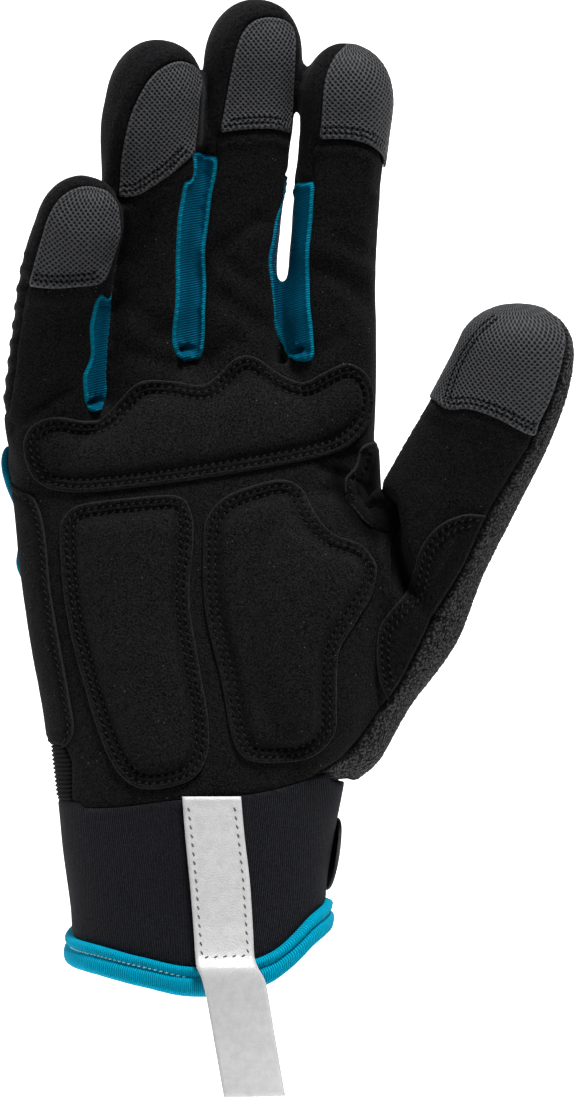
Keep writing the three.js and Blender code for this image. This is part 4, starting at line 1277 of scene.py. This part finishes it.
# Painted shade in the folds beside the thumb, which come first among the creases
thumbFolds = {"count": 3, "shade": 3, "depth": 18}


def foldShade(points):
    shade = np.zeros(len(points))
    for crease in creases[: thumbFolds["count"]]:
        distance = lineDistance(points[:, [0, 2]], catmullRom(crease["line"], 5))
        shade = np.maximum(shade, thumbFolds["shade"] * bell(distance, crease["wide"]))
    return shade * (points[:, 1] < thumbFolds["depth"])


for name, panel in panels.items():
    bm = hullParts[name]
    heights = rollIn(borderDistance(bm), panel["roll"], panel["sink"])
    points = places(bm.verts)
    if name == "back_panel":
        heights += ribHeights(points)
    lift(bm, heights)
    # Painted shade in the folds beside the thumb
    setAttribute(bm, "pressed_nap_and_shade", foldShade(points))
    setAttribute(bm, "rim", [0] * len(bm.verts))
    finishPiece(bm, name, panel["material"], panel["slot"], [name], wallThickness, panel["kept"])
print("shell panels made")

# Terry round the thumb: loops stand up as coarse bumps
terry = {"loop": 0.65, "height": 0.32, "roll": 2.0, "sink": 1.7, "valley": (0.4, 1.8), "kept": 0.84}
bm = refined(hullParts["thumb_terry"], 1)
distance = borderDistance(bm)
heights = rollIn(distance, terry["roll"], terry["sink"])
lift(bm, heights + np.array(roughNoise(bm, terry["loop"], terry["height"])))
# Painted shade in the valley along the seams
setAttribute(bm, "pressed_nap_and_shade", 1 - smoothStep(*terry["valley"], distance))
finishPiece(bm, "thumb_terry", "terry", "terry", ["thumb_terry"], wallThickness, terry["kept"])

# Ribbed elastic at the little finger's side of the wrist
elastic = {"pitch": 1.1, "height": 0.26, "roll": 0.9, "sink": 0.5}
bm = refined(hullParts["side_elastic"], 2)
points = places(bm.verts)
ribs = elastic["height"] * np.sin(2 * pi * points[:, 2] / elastic["pitch"])
lift(bm, rollIn(borderDistance(bm), elastic["roll"], elastic["sink"]) + ribs)
setCloth(bm, points[:, 1], points[:, 2])
finishPiece(bm, "side_elastic", "elastic", "ribbed_elastic", ["side_elastic"], wallThickness)


# Cuff of fine ribbed cloth
cuff = {"roll": 1.2, "sink": 0.5, "radius": 35, "behind": 1}


def turnRound(points):
    return cuff["radius"] * np.arctan2(points[:, 0], cuff["behind"] - points[:, 1])


bm = hullParts["cuff"]
points = places(bm.verts)
lift(bm, rollIn(borderDistance(bm), cuff["roll"], cuff["sink"]))
setCloth(bm, turnRound(points), points[:, 2], 2 * pi * cuff["radius"])
finishPiece(bm, "cuff", "cuff", "cuff_knit", ["cuff"], wallThickness)
print("terry, elastic and cuff made")

# Gussets between the fingers: rolled edges with a painted highlight, a sunk middle with painted shade
gusset = {
    "under": 1.0,  # the edge goes on under its neighbours
    "steps": [  # distance from the edge, height
        (-1, -2.0), (-0.5, -1.1), (0, -0.3), (0.3, 0.1), (0.6, 0.25), (1.0, 0.05), (1.8, -0.25),
        (4, -0.3),
    ],
    "scallop": {"height": 0.12, "at": 0.4, "wide": 0.4472, "turns": 3.6},  # radians a millimetre
    # painted shade in the sunk middle, weaker towards the top
    "deep": {"from": 1.6, "to": 6.0, "shade": 0.5, "lighterAbove": 0.8},
    "crumple": {"size": 1.5, "height": 0.8, "from": 1, "to": 3},
    "hole": {"depth": 2.4, "wide": 1.7, "tall": 0.8, "slope": 0.25, "shade": 0.9},
    "lip": {"height": 0.8, "wide": 2.6, "tall": 0.9, "down": 1.8},
    "below": 3.4,
    "tuckFade": (-0.2, 0.5),
    "rimFade": (0.4, 0.9),
    "topFade": (1.6, 3),  # the top end has no painted highlight on its edge
    "highShare": (0.5, 0.95),
    "tucks": {  # where the lower end is tucked in, x and z
        "gusset_ring_little": (-26.0, 133.3),
        "gusset_middle_ring": (-2.8, 146.8),
        "gusset_index_middle": (24.8, 146.3),
    },
}
scallop, deep, crumple, hole, lip = (gusset[key] for key in ("scallop", "deep", "crumple", "hole", "lip"))
for name, (tuckX, tuckZ) in gusset["tucks"].items():
    aboveEnd = either(hullPlaces[:, 2] - tuckZ + gusset["below"], -palmSide)
    bm = refined(cutPanel(hullMesh, both(fields[name] + gusset["under"], aboveEnd)), 1)
    distance = borderDistance(bm) - gusset["under"]
    x, _, z = places(bm.verts).T
    heights = profile(distance, gusset["steps"])
    atEdge = bell(distance - scallop["at"], scallop["wide"])
    heights += scallop["height"] * atEdge * np.sin(z * scallop["turns"])
    across, up = x - tuckX, z - tuckZ
    inHole = bell(across, hole["wide"]) * bell(up - hole["slope"] * across, hole["tall"])
    onLip = bell(across, lip["wide"]) * bell(up + lip["down"], lip["tall"])
    uneven = np.array(roughNoise(bm, crumple["size"], crumple["height"]))
    uneven *= 1 - smoothStep(crumple["from"], crumple["to"], up)
    tuck = lip["height"] * onLip - hole["depth"] * inHole + uneven
    lift(bm, heights + smoothStep(*gusset["tuckFade"], distance) * tuck)
    # Painted highlight along the rolled edges
    side = smoothStep(*gusset["topFade"], z.max() - z)
    setAttribute(bm, "rim", side * (1 - smoothStep(*gusset["rimFade"], distance)))
    # Painted shade in the sunk middle, weaker towards the top, and darkest in the tuck's hole
    high = smoothStep(*gusset["highShare"], (z - z.min()) / (z.max() - z.min()))
    shade = deep["shade"] * smoothStep(deep["from"], deep["to"], distance)
    shade *= 1 - deep["lighterAbove"] * high
    setAttribute(bm, "deep", np.maximum(shade, hole["shade"] * inHole))
    finishPiece(bm, name, "teal", "ribbed_teal", [name], wallThickness)
print("gussets made")

# Sewn-on patches and pads
stitch = {"pitch": 1.9, "length": 1.1, "width": 0.4, "height": 0.4, "slant": 32, "hole": 0.8}
threads = {"thread": [], "hole": []}


# Closed or open line of (x, z) points moved to its left by a distance, resampled at a pitch
def stitchLine(line, inset, pitch, closed=True):
    line = np.asarray(line, float)
    if closed:
        area = np.sum(line[:, 0] * np.roll(line[:, 1], -1) - line[:, 1] * np.roll(line[:, 0], -1))
        line = line if area > 0 else line[::-1]
        along = np.roll(line, -1, axis=0) - np.roll(line, 1, axis=0)
    else:
        along = np.gradient(line, axis=0)
    along /= np.linalg.norm(along, axis=1, keepdims=True)
    moved = line + inset * np.stack([-along[:, 1], along[:, 0]], axis=1)
    moved = moved[lineDistance(moved, line, closed) > abs(inset) - 0.12]
    if closed:
        moved = np.vstack([moved, moved[:1]])
    passed = np.concatenate([[0], np.cumsum(np.linalg.norm(np.diff(moved, axis=0), axis=1))])
    count = max(int(round(passed[-1] / pitch)), 1)
    steps = (np.arange(count) + 0.5) * passed[-1] / count
    return np.stack([np.interp(steps, passed, moved[:, k]) for k in (0, 1)], axis=1)


def frontOf(tree, x, z):
    return tree.ray_cast(Vector((x, -200, z)), Vector((0, 1, 0)))[:2]


# Sews a row of slanted stitches along places on a surface, with a dark disc of painted shade for a needle
# hole after each
def sew(marks, tree, line, closed=True, look=stitch):
    hits = [frontOf(tree, x, z) for x, z in line]
    count = len(hits)
    for i, (place, normal) in enumerate(hits):
        after = hits[(i + 1) % count if closed else min(i + 1, count - 1)][0]
        before = hits[i - 1 if closed else max(i - 1, 0)][0]
        if not place or not after or not before:
            continue
        along = (after - before).cross(normal).cross(normal) * -1
        along = (Matrix.Rotation(radians(look["slant"]), 3, normal) @ along).normalized()
        turn = Matrix((along, normal.cross(along), normal)).transposed().to_4x4()
        size = (look["length"] / 2, look["width"] / 2, look["height"] / 2, 1)
        top = Matrix.Translation(place + normal * look["height"] * 0.2)
        marks["thread"].append(top @ turn @ Matrix.Diagonal(size))
        if look["hole"] and after != place:
            pit = Matrix.Translation((place + after) / 2 + normal * 0.02)
            size = (look["hole"] / 2, look["hole"] / 2, look["hole"] / 6, 1)
            marks["hole"].append(pit @ turn @ Matrix.Diagonal(size))


# Small rounded grains, with the holes' dark discs of painted shade in the second material.
# They are made a few at a time, because each operator takes longer the more a bmesh holds.
def grains(marks, atOnce=40):
    for material, placings in enumerate((marks["thread"], marks["hole"])):
        for start in range(0, len(placings), atOnce):
            few = bmesh.new()
            for placing in placings[start : start + atOnce]:
                bmesh.ops.create_uvsphere(few, u_segments=6, v_segments=4, radius=1, matrix=placing)
            for face in few.faces:
                face.material_index = material
            yield few


def finishStitches(marks, name, material, slot):
    obj = finishPiece(joined(grains(marks)), name, material, slot)
    obj.data.materials.append(materials["hole"])
    marks.update(thread=[], hole=[])  # empty for the next piece


overlays = {
    "knuckle_pad": {"outline": "knuckle", "pad": True, "rows": (1.5, 3.2), "crown": 2.4},
    "heel_pad": {"outline": "heel", "pad": True, "rows": (1.5, 3.2), "crown": 2.7},
    "thumb_ball_pad": {"outline": "thumbBall", "pad": True, "rows": (1.5, 3.2), "crown": 2.9},
    "side_patch": {"outline": "side", "pad": False, "rows": (1.6,), "crown": 0.9},
    "crotch_patch": {"outline": "crotch", "pad": False, "rows": (1.2,), "crown": 0.9},
    "thumb_base_patch": {"outline": "thumbBase", "pad": False, "rows": (1.5, 3.2), "crown": 0.9},
}
patchEdge = {
    "base": 0.15,
    "holeDepth": 0.3,
    "holeWide": 0.45,
    "uneven": 3.4,
    "padUneven": 0.1,
    "flatUneven": 0.05,
    "rimWide": 0.25,
    "rim": 0.8,
    "seamFrom": 0.4,
    "seamFade": 1.2,
    "pressedFrom": (0.9, 1.5),
    "pressedPast": (1.2, 2.4),
}
crotchShade = {"edgeTo": 44.5, "inner": (1.4, 2.4), "shade": 3.3, "under": 6}


def overlayHeight(distance, overlay):
    first = overlay["rows"][0]
    if not overlay["pad"]:
        steps = [(0, 0.55), (0.5, 0.85), (first, 0.6), (first + 1, 0.9), (first + 3, overlay["crown"])]
        return profile(distance, steps)
    second = overlay["rows"][1]
    crown = overlay["crown"]
    return profile(distance, [
        (0, 0.65), (0.4, 1.0), (0.8, 1.05), (first, 0.6), (first + 1, 0.95), (second - 0.5, 0.7),
        (second, 0.35), (second + 0.5, 0.6), (second + 1.4, 1.3), (second + 2.8, crown * 0.8),
        (second + 5.5, crown), (30, crown + 0.4),
    ])


# Copies a surface's skin outwards and closes it to a solid
def thickened(bm, base, heights):
    lift(bm, np.full(len(bm.verts), base))
    bm.normal_update()
    move = bm.verts.layers.float_vector.new("move")
    for vert, height in zip(bm.verts, heights):
        vert[move] = vert.normal * height
    top = bmesh.ops.extrude_face_region(bm, geom=bm.faces[:], use_keep_orig=True)["geom"]
    for item in top:
        if isinstance(item, bmesh.types.BMVert):
            item.co += item[move]
    bmesh.ops.recalc_face_normals(bm, faces=bm.faces)


sideBack = 11.2  # the side patch wraps round to here


def overlayField(name, overlay):
    outline = zone(hullPlaces, curves[overlay["outline"]])
    if name == "side_patch":
        return both(outline, sideBack - hullPlaces[:, 1], -fields["elastic"])
    if name == "thumb_base_patch":
        return both(outline, hullThumbFront, -fields["terry"] - 0.2)
    if name == "crotch_patch":
        return both(outline, palmSide + crotchShade["under"], -fields["thumb"])
    return both(outline, palmSide)


sewnWithin = {"sideLeft": -47.5, "sideTop": 109, "crotchRight": 41, "clearOfTerry": 1.2}


# Which stitches of a row are sewn through a patch's own edge, not into a neighbour's seam
def sewn(name, line):
    x, z = line.T
    if name == "side_patch":
        return (x > sewnWithin["sideLeft"]) & (z < sewnWithin["sideTop"])
    if name == "crotch_patch":
        return x < sewnWithin["crotchRight"]
    if name == "thumb_base_patch":
        clear = lineDistance(line, seamCurves["terry"]) > sewnWithin["clearOfTerry"]
        return clear & ~insideOf(line, terryOutline)
    return x > -far


for name, overlay in overlays.items():
    curve = curves[overlay["outline"]]
    bm = refined(cutPanel(hullMesh, overlayField(name, overlay)), 1)
    distance = borderDistance(bm)
    heights = overlayHeight(distance, overlay)
    lines = [stitchLine(curve, inset, stitch["pitch"]) for inset in overlay["rows"]]
    holes = np.vstack(lines)
    holeTree = KDTree(len(holes))
    for i, (x, z) in enumerate(holes + (stitch["pitch"] / 2, 0)):
        holeTree.insert((x, 0, z), i)
    holeTree.balance()
    points = places(bm.verts)
    nearHole = np.array([holeTree.find((x, 0, z))[2] for x, _, z in points])
    heights = heights - patchEdge["holeDepth"] * bell(nearHole, patchEdge["holeWide"])
    unevenBy = patchEdge["padUneven" if overlay["pad"] else "flatUneven"]
    heights += roughNoise(bm, patchEdge["uneven"], unevenBy)
    toOutline = lineDistance(points[:, [0, 2]], curve, closed=True)
    cutEdge = toOutline - distance < patchEdge["seamFrom"]  # elsewhere the edge goes into a seam
    # Darker along the stitched flange: nap pressed flat by the seams, and painted shade in the ditch just
    # past the inner row
    pressed_nap_and_shade = smoothStep(*patchEdge["pressedFrom"], distance)
    pressed_nap_and_shade *= 1 - smoothStep(*patchEdge["pressedPast"], distance - overlay["rows"][-1])
    if name == "crotch_patch":
        cutEdge &= points[:, 0] < crotchShade["edgeTo"]
        # painted shade over the patch's inner part and in the folds beside the thumb
        inner = smoothStep(*crotchShade["inner"], toOutline)
        pressed_nap_and_shade = np.maximum(crotchShade["shade"] * inner, foldShade(points))
    heights *= np.where(cutEdge, 1, smoothStep(0, patchEdge["seamFade"], distance))
    # Painted highlight along the cut edge
    setAttribute(bm, "rim", patchEdge["rim"] * (cutEdge & (distance < patchEdge["rimWide"])))
    setAttribute(bm, "pressed_nap_and_shade", pressed_nap_and_shade)
    thickened(bm, patchEdge["base"], heights)
    surface = BVHTree.FromBMesh(bm)
    for line in lines:
        kept = sewn(name, line)
        sew(threads, surface, line[kept], closed=all(kept))
    material, slot = ("paddedSuede", "padded_suede") if overlay["pad"] else ("suede", "suede")
    obj = finishPiece(bm, name, material, slot, [name])
print("pads and patches made")

# Grip mesh on the fingertips, sunk between the knit's edges
tips = {
    "base": 0.1,
    "steps": [(0, 0.3), (0.5, 0.7), (1.2, 0.62), (2, 0.6)],
    "rows": (1.5, 2.9),
    "sideRows": (0.5, 1.7),
    "pitch": 1.35,
    "rim": 0.25,
    "rimFade": (0.3, 0.9),
    "behind": 2,
}
tipStitch = {"length": 0.9, "width": 0.4, "height": 0.4, "slant": 24, "hole": 0.85}


# Cloth coordinates round and along a fingertip
def roundTip(points, digit):
    base = np.array(digit["rows"][-3][:3])
    along = np.array(digit["tip"]) - base
    along /= np.linalg.norm(along)
    across = np.cross((0, 1, 0), along)
    across /= np.linalg.norm(across)
    apart = points - base
    radius = digit["rows"][-2][3] / 2
    toFront = tips["behind"] - apart @ np.cross(along, across)
    return radius * np.arctan2(apart @ across, toFront), apart @ along


for digitName in ("little", "ring", "middle", "index", "thumb"):
    digit = digits[digitName]
    _, front = alongDigit(hullPlaces, digit)
    field = both(zone(hullPlaces, curves[digitName]), front)
    bm = refined(cutPanel(hullMesh, field), 1)
    distance = borderDistance(bm)
    heights = profile(distance, tips["steps"])
    # Painted highlight along the patch's edge
    setAttribute(bm, "rim", tips["rim"] * (1 - smoothStep(*tips["rimFade"], distance)))
    setCloth(bm, *roundTip(places(bm.verts), digit))
    thickened(bm, tips["base"], heights)
    surface = BVHTree.FromBMesh(bm)
    rows = [(hemCurves[digitName], inset) for inset in tips["rows"]]
    if digitName == "thumb":
        rows += [(catmullRom(thumbSideSeam, 6), inset) for inset in tips["sideRows"]]
    for curve, inset in rows:
        sew(threads, surface, stitchLine(curve, inset, tips["pitch"], False), False, tipStitch)
    name = f"tip_patch_{digitName}"
    finishPiece(bm, name, "grip", "grip_mesh", [name])
print("tip patches made")
finishStitches(threads, "seam_stitches", "thread", "suede")


# Round cord swept along points, as rows of a grid
def cordPoints(path, radii, sides=10):
    path = np.asarray(path, float)
    along = np.gradient(path, axis=0)
    along /= np.linalg.norm(along, axis=1, keepdims=True)
    side = np.cross(along, (0, 1, 0.01))
    side /= np.linalg.norm(side, axis=1, keepdims=True)
    up = np.cross(side, along)
    angle = 2 * pi * np.arange(sides) / sides
    around = np.cos(angle)[None, :, None] * side[:, None] + np.sin(angle)[None, :, None] * up[:, None]
    return path[:, None] + np.asarray(radii)[:, None, None] * around


def handAt(z, level=handColumn["z"]):
    return {name: np.interp(z, level, values) for name, values in handColumn.items()}


# Places round one of the hand's sections, grown by a distance
def roundRow(row, turns, grown):
    halves = (row["width"] / 2 + grown, row["front"] + grown, row["back"] + grown)
    across, depth = sectionAt(turns, *halves)
    return row["x"] + across, row["y"] + depth


# Teal piping down the little finger's edge
piping = {
    "radius": 1.1,
    "out": 0.4,
    "endShare": 0.45,  # the ends taper to this share of the radius
    "endGrowth": 0.3,
    "rim": 0.6,
    "rows": [  # z, how far behind the hand's middle
        (122, 5.0), (119, 2.6), (116, 1.2), (113, 2.2), (104, 6.0), (96, 4.8), (92, 3.4), (88, 5.2),
        (84, 6.0),
    ],
}


def pipingPath():
    path = []
    for z, behind in catmullRom(piping["rows"], 12):
        row = handAt(z)
        depth = behind / row["back"]
        across = (1 - depth**squareness) ** (1 / squareness)
        slope = squareness - 1
        out = Vector((-2 * across**slope / row["width"], depth**slope / row["back"]))
        out = out.normalized() * (piping["radius"] + piping["out"])
        path.append((row["x"] - row["width"] / 2 * across + out.x, row["y"] + behind + out.y, z))
    return path


path = pipingPath()
ends = np.minimum(np.arange(len(path)), np.arange(len(path))[::-1])
radii = piping["radius"] * np.clip(piping["endShare"] + piping["endGrowth"] * ends, 0, 1)
bm = refined(gridSkin(cordPoints(path, radii)), 1)
setAttribute(bm, "rim", [piping["rim"]] * len(bm.verts))
setAttribute(bm, "deep", [0] * len(bm.verts))
finishPiece(bm, "side_piping", "teal", "ribbed_teal", ["side_piping"])

# Elastic binding round the hem: a ridge over a wider band
binding = {
    "section": [(-1.4, 0.9), (0.2, 1.4), (1.3, 1.2), (1.8, 0.3), (1.2, -0.9), (1.0, -1.3), (1.9, -2.2),
                (2.1, -3.6), (1.7, -5.0), (0.7, -5.9), (-0.6, -6.1), (-1.2, -5.2), (-0.4, -2.0)],
    "sides": 220,
    "gather": 0.18,
    "gatherings": 9,
}
hemRow = dict(zip(hand["columns"], hand["rows"][0]))


def bindingPoints():
    out, up = catmullRom(binding["section"], 3, closed=True).T
    rings = []
    for turn in -2 * pi * np.arange(binding["sides"]) / binding["sides"]:
        spot = Vector((cos(turn), sin(turn), 0)) * binding["gatherings"]
        x, y = roundRow(hemRow, turn, out + binding["gather"] * noise.noise(spot))
        rings.append(np.stack([x, y, hemDip(turn) + up], axis=1))
    return np.array(rings)


bm = gridSkin(bindingPoints(), closeAlong=True, capEnds=False)
points = places(bm.verts)
setCloth(bm, turnRound(points), points[:, 2], 2 * pi * cuff["radius"])
bindingTree = BVHTree.FromBMesh(bm)
finishPiece(bm, "cuff_binding", "binding", "teal_elastic", ["cuff_binding"])

# Pale stitches in the groove between the binding's ridge and its band
dashes = {"length": 1.1, "width": 0.45, "height": 0.4, "slant": 12, "hole": 0}
dashRow = {"from": 172, "to": 96, "count": 30, "down": 1.3}
angle = np.radians(np.linspace(dashRow["from"], dashRow["to"], dashRow["count"]))
row = [(hemRow["x"] + hemRow["width"] / 2 * cos(a), hemDip(a) - dashRow["down"]) for a in angle]
sew(threads, bindingTree, row, closed=False, look=dashes)
finishStitches(threads, "binding_stitches", "paleThread", "teal_elastic")

# Pull tab of reflective tape: sewn flat on the cuff, over the binding and hanging below it
tab = {
    "rows": [  # x, z, width, lift
        (3.7, 33.5, 14.8, 0.2), (4.5, 24.0, 14.9, 0.1), (5.8, 12.0, 15.1, 0.1), (6.7, 0.0, 14.9, 0.3),
        (7.1, -6.4, 14.8, 0.9), (7.9, -9.2, 15.2, 3.0), (9.4, -12.6, 15.7, 3.2), (10.5, -18.0, 15.6, 2.1),
        (12.2, -28.0, 15.5, 0.9), (14.6, -41.8, 15.4, 0.3),
    ],
    "thickness": 1.1,
    "gap": 0.45,
    "across": 17,
    "dip": 10,  # how far the hem hangs under the tab
}


# Depth of the cuff's palm side at a place, for what lies on it
def cuffFront(x, z):
    row = handAt(z, handColumn["z"] - tab["dip"] * handColumn["hem"])
    across = min(abs(x - row["x"]) / (row["width"] / 2), 1)
    return row["y"] - row["front"] * (1 - across**squareness) ** (1 / squareness)


def tabPoints(front):
    rows = catmullRom(tab["rows"], 8)
    grid = []
    for x, z, width, lifted in rows:
        across = x + width * np.linspace(-0.5, 0.5, tab["across"])
        depth = [cuffFront(a, z) - tab["gap"] - lifted - front for a in across]
        grid.append(np.stack([across, depth, np.full(tab["across"], z)], axis=1))
    return np.array(grid)


bm = gridSkin(tabPoints(tab["thickness"]), closeAcross=False, capEnds=False)
tabTree = BVHTree.FromBMesh(bm)
tabArea = sum(face.calc_area() for face in bm.faces)
tabWidth = np.mean([row[2] for row in tab["rows"]])
bmesh.ops.recalc_face_normals(bm, faces=bm.faces)
if sum(face.normal.y for face in bm.faces) > 0:
    bmesh.ops.reverse_faces(bm, faces=bm.faces)
tabSheet = finishPiece(bm, "pull_tab", "tape", "reflective_tape", ["pull_tab"], tab["thickness"])

tabStitch = {"pitch": 2.2, "length": 1.2, "width": 0.45, "height": 0.34, "slant": 24, "hole": 0}
tabLine = np.array([
    (-2.2, 31.4), (-1.3, 24), (-0.1, 12), (0.8, 0), (1.4, -6.6), (12.9, -6.2), (12.5, 0), (11.7, 12),
    (10.4, 24), (9.4, 31.4),
])
for part in (tabLine[:5], tabLine[4:6], tabLine[5:]):
    line = stitchLine(part, 0, tabStitch["pitch"], closed=False)
    sew(threads, tabTree, line, closed=False, look=tabStitch)
finishStitches(threads, "tab_stitches", "tapeThread", "reflective_tape")

# Wrist strap: a band of hook and loop tape round the back
strap = {
    "low": 8.4,
    "high": 27.0,
    "from": 5,  # degrees round the cuff
    "to": -154,
    "round": 20,
    "thickness": 0.8,
    "gap": 0.1,
    "crown": 1.0,
    "along": 90,
    "up": 19,
}


# Rows up the strap; its free end at the thumb side is round
def strapPoints():
    grid = []
    middle, half = (strap["low"] + strap["high"]) / 2, (strap["high"] - strap["low"]) / 2
    for up in np.sin(np.linspace(-pi / 2, pi / 2, strap["up"])):
        z = middle + half * up
        start = strap["from"] - strap["round"] * (1 - np.sqrt(1 - min(up * up, 1)))
        turns = np.radians(np.linspace(start, strap["to"], strap["along"]))
        grown = strap["gap"] + strap["thickness"] + strap["crown"] * (1 - up * up)
        grid.append(np.stack([*roundRow(handAt(z), turns, grown), np.full(len(turns), z)], axis=1))
    return np.array(grid)


bm = gridSkin(strapPoints(), closeAcross=False, capEnds=False)
outward = sum(face.normal.dot(face.calc_center_median() * Vector((1, 1, 0))) for face in bm.faces)
if outward < 0:
    bmesh.ops.reverse_faces(bm, faces=bm.faces)
finishPiece(bm, "wrist_strap", "hook", "strap_tape", ["wrist_strap"], strap["thickness"])
print("trims made")

# Studio: a white sweep, and soft lights that are placed in metres
stage = {"floor": -140, "side": 4000, "front": -120, "back": 2600, "height": 3000, "sweep": 500}


def makeStage():
    bm = bmesh.new()
    bmesh.ops.create_grid(bm, x_segments=1, y_segments=1, size=1)
    half = stage["side"] / 2
    for vert in bm.verts:
        vert.co.x *= half
        vert.co.y = stage["back"] if vert.co.y > 0 else stage["front"]
        vert.co.z = stage["floor"]
    backEdge = [edge for edge in bm.edges if all(vert.co.y == stage["back"] for vert in edge.verts)]
    raised = bmesh.ops.extrude_edge_only(bm, edges=backEdge)["geom"]
    for vert in (item for item in raised if isinstance(item, bmesh.types.BMVert)):
        vert.co.z += stage["height"]
    bmesh.ops.bevel(
        bm, geom=backEdge, offset=stage["sweep"], segments=12, profile=0.5, affect="EDGES", material=-1
    )
    material, tree, shader = newMaterial("white_paper")
    setInputs(tree, shader, {
        "Base Color": sRGB("f4f4f4"), "Roughness": 0.9, "Emission Color": (1, 1, 1, 1),
        "Emission Strength": 0.95,
    })
    behind = addNode(tree, "NewGeometry", {}, "Backfacing")  # clear when seen from behind
    clear = addNode(tree, "BsdfTransparent", {})
    paper = addNode(tree, "MixShader", {0: behind, 1: shader.outputs["BSDF"], 2: clear})
    setInputs(tree, tree.nodes["Material Output"], {"Surface": paper})
    mesh = meshOf(bm, "backdrop")
    finishMesh(mesh, material)
    addObject("backdrop", mesh)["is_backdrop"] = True


makeStage()
aimPlace = Vector((0.02, 0, 0.1))
lights = {
    "key": {"place": (0.36, -0.62, 1.6), "size": 0.45, "power": 33},
    "fill": {"place": (-0.7, -1.3, 0.3), "size": 1.0, "power": 3.0},
    "rim": {"place": (-0.95, 0.45, 0.5), "size": 0.5, "power": 3},
}
for name, light in lights.items():
    data = bpy.data.lights.new(name, "AREA")
    data.size = light["size"]
    data.energy = light["power"]
    lamp = addObject(name, data)
    lamp.location = light["place"]
    lamp.rotation_euler = (aimPlace - lamp.location).to_track_quat("-Z", "Y").to_euler()

world = bpy.data.worlds.new("studio")
world.use_nodes = True
sky = world.node_tree.nodes["Background"]
setInputs(world.node_tree, sky, {"Color": (1, 1, 1, 1), "Strength": 0.16})
bpy.context.scene.world = world
bpy.context.scene.view_settings.view_transform = "Standard"

low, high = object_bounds()
print("finished")
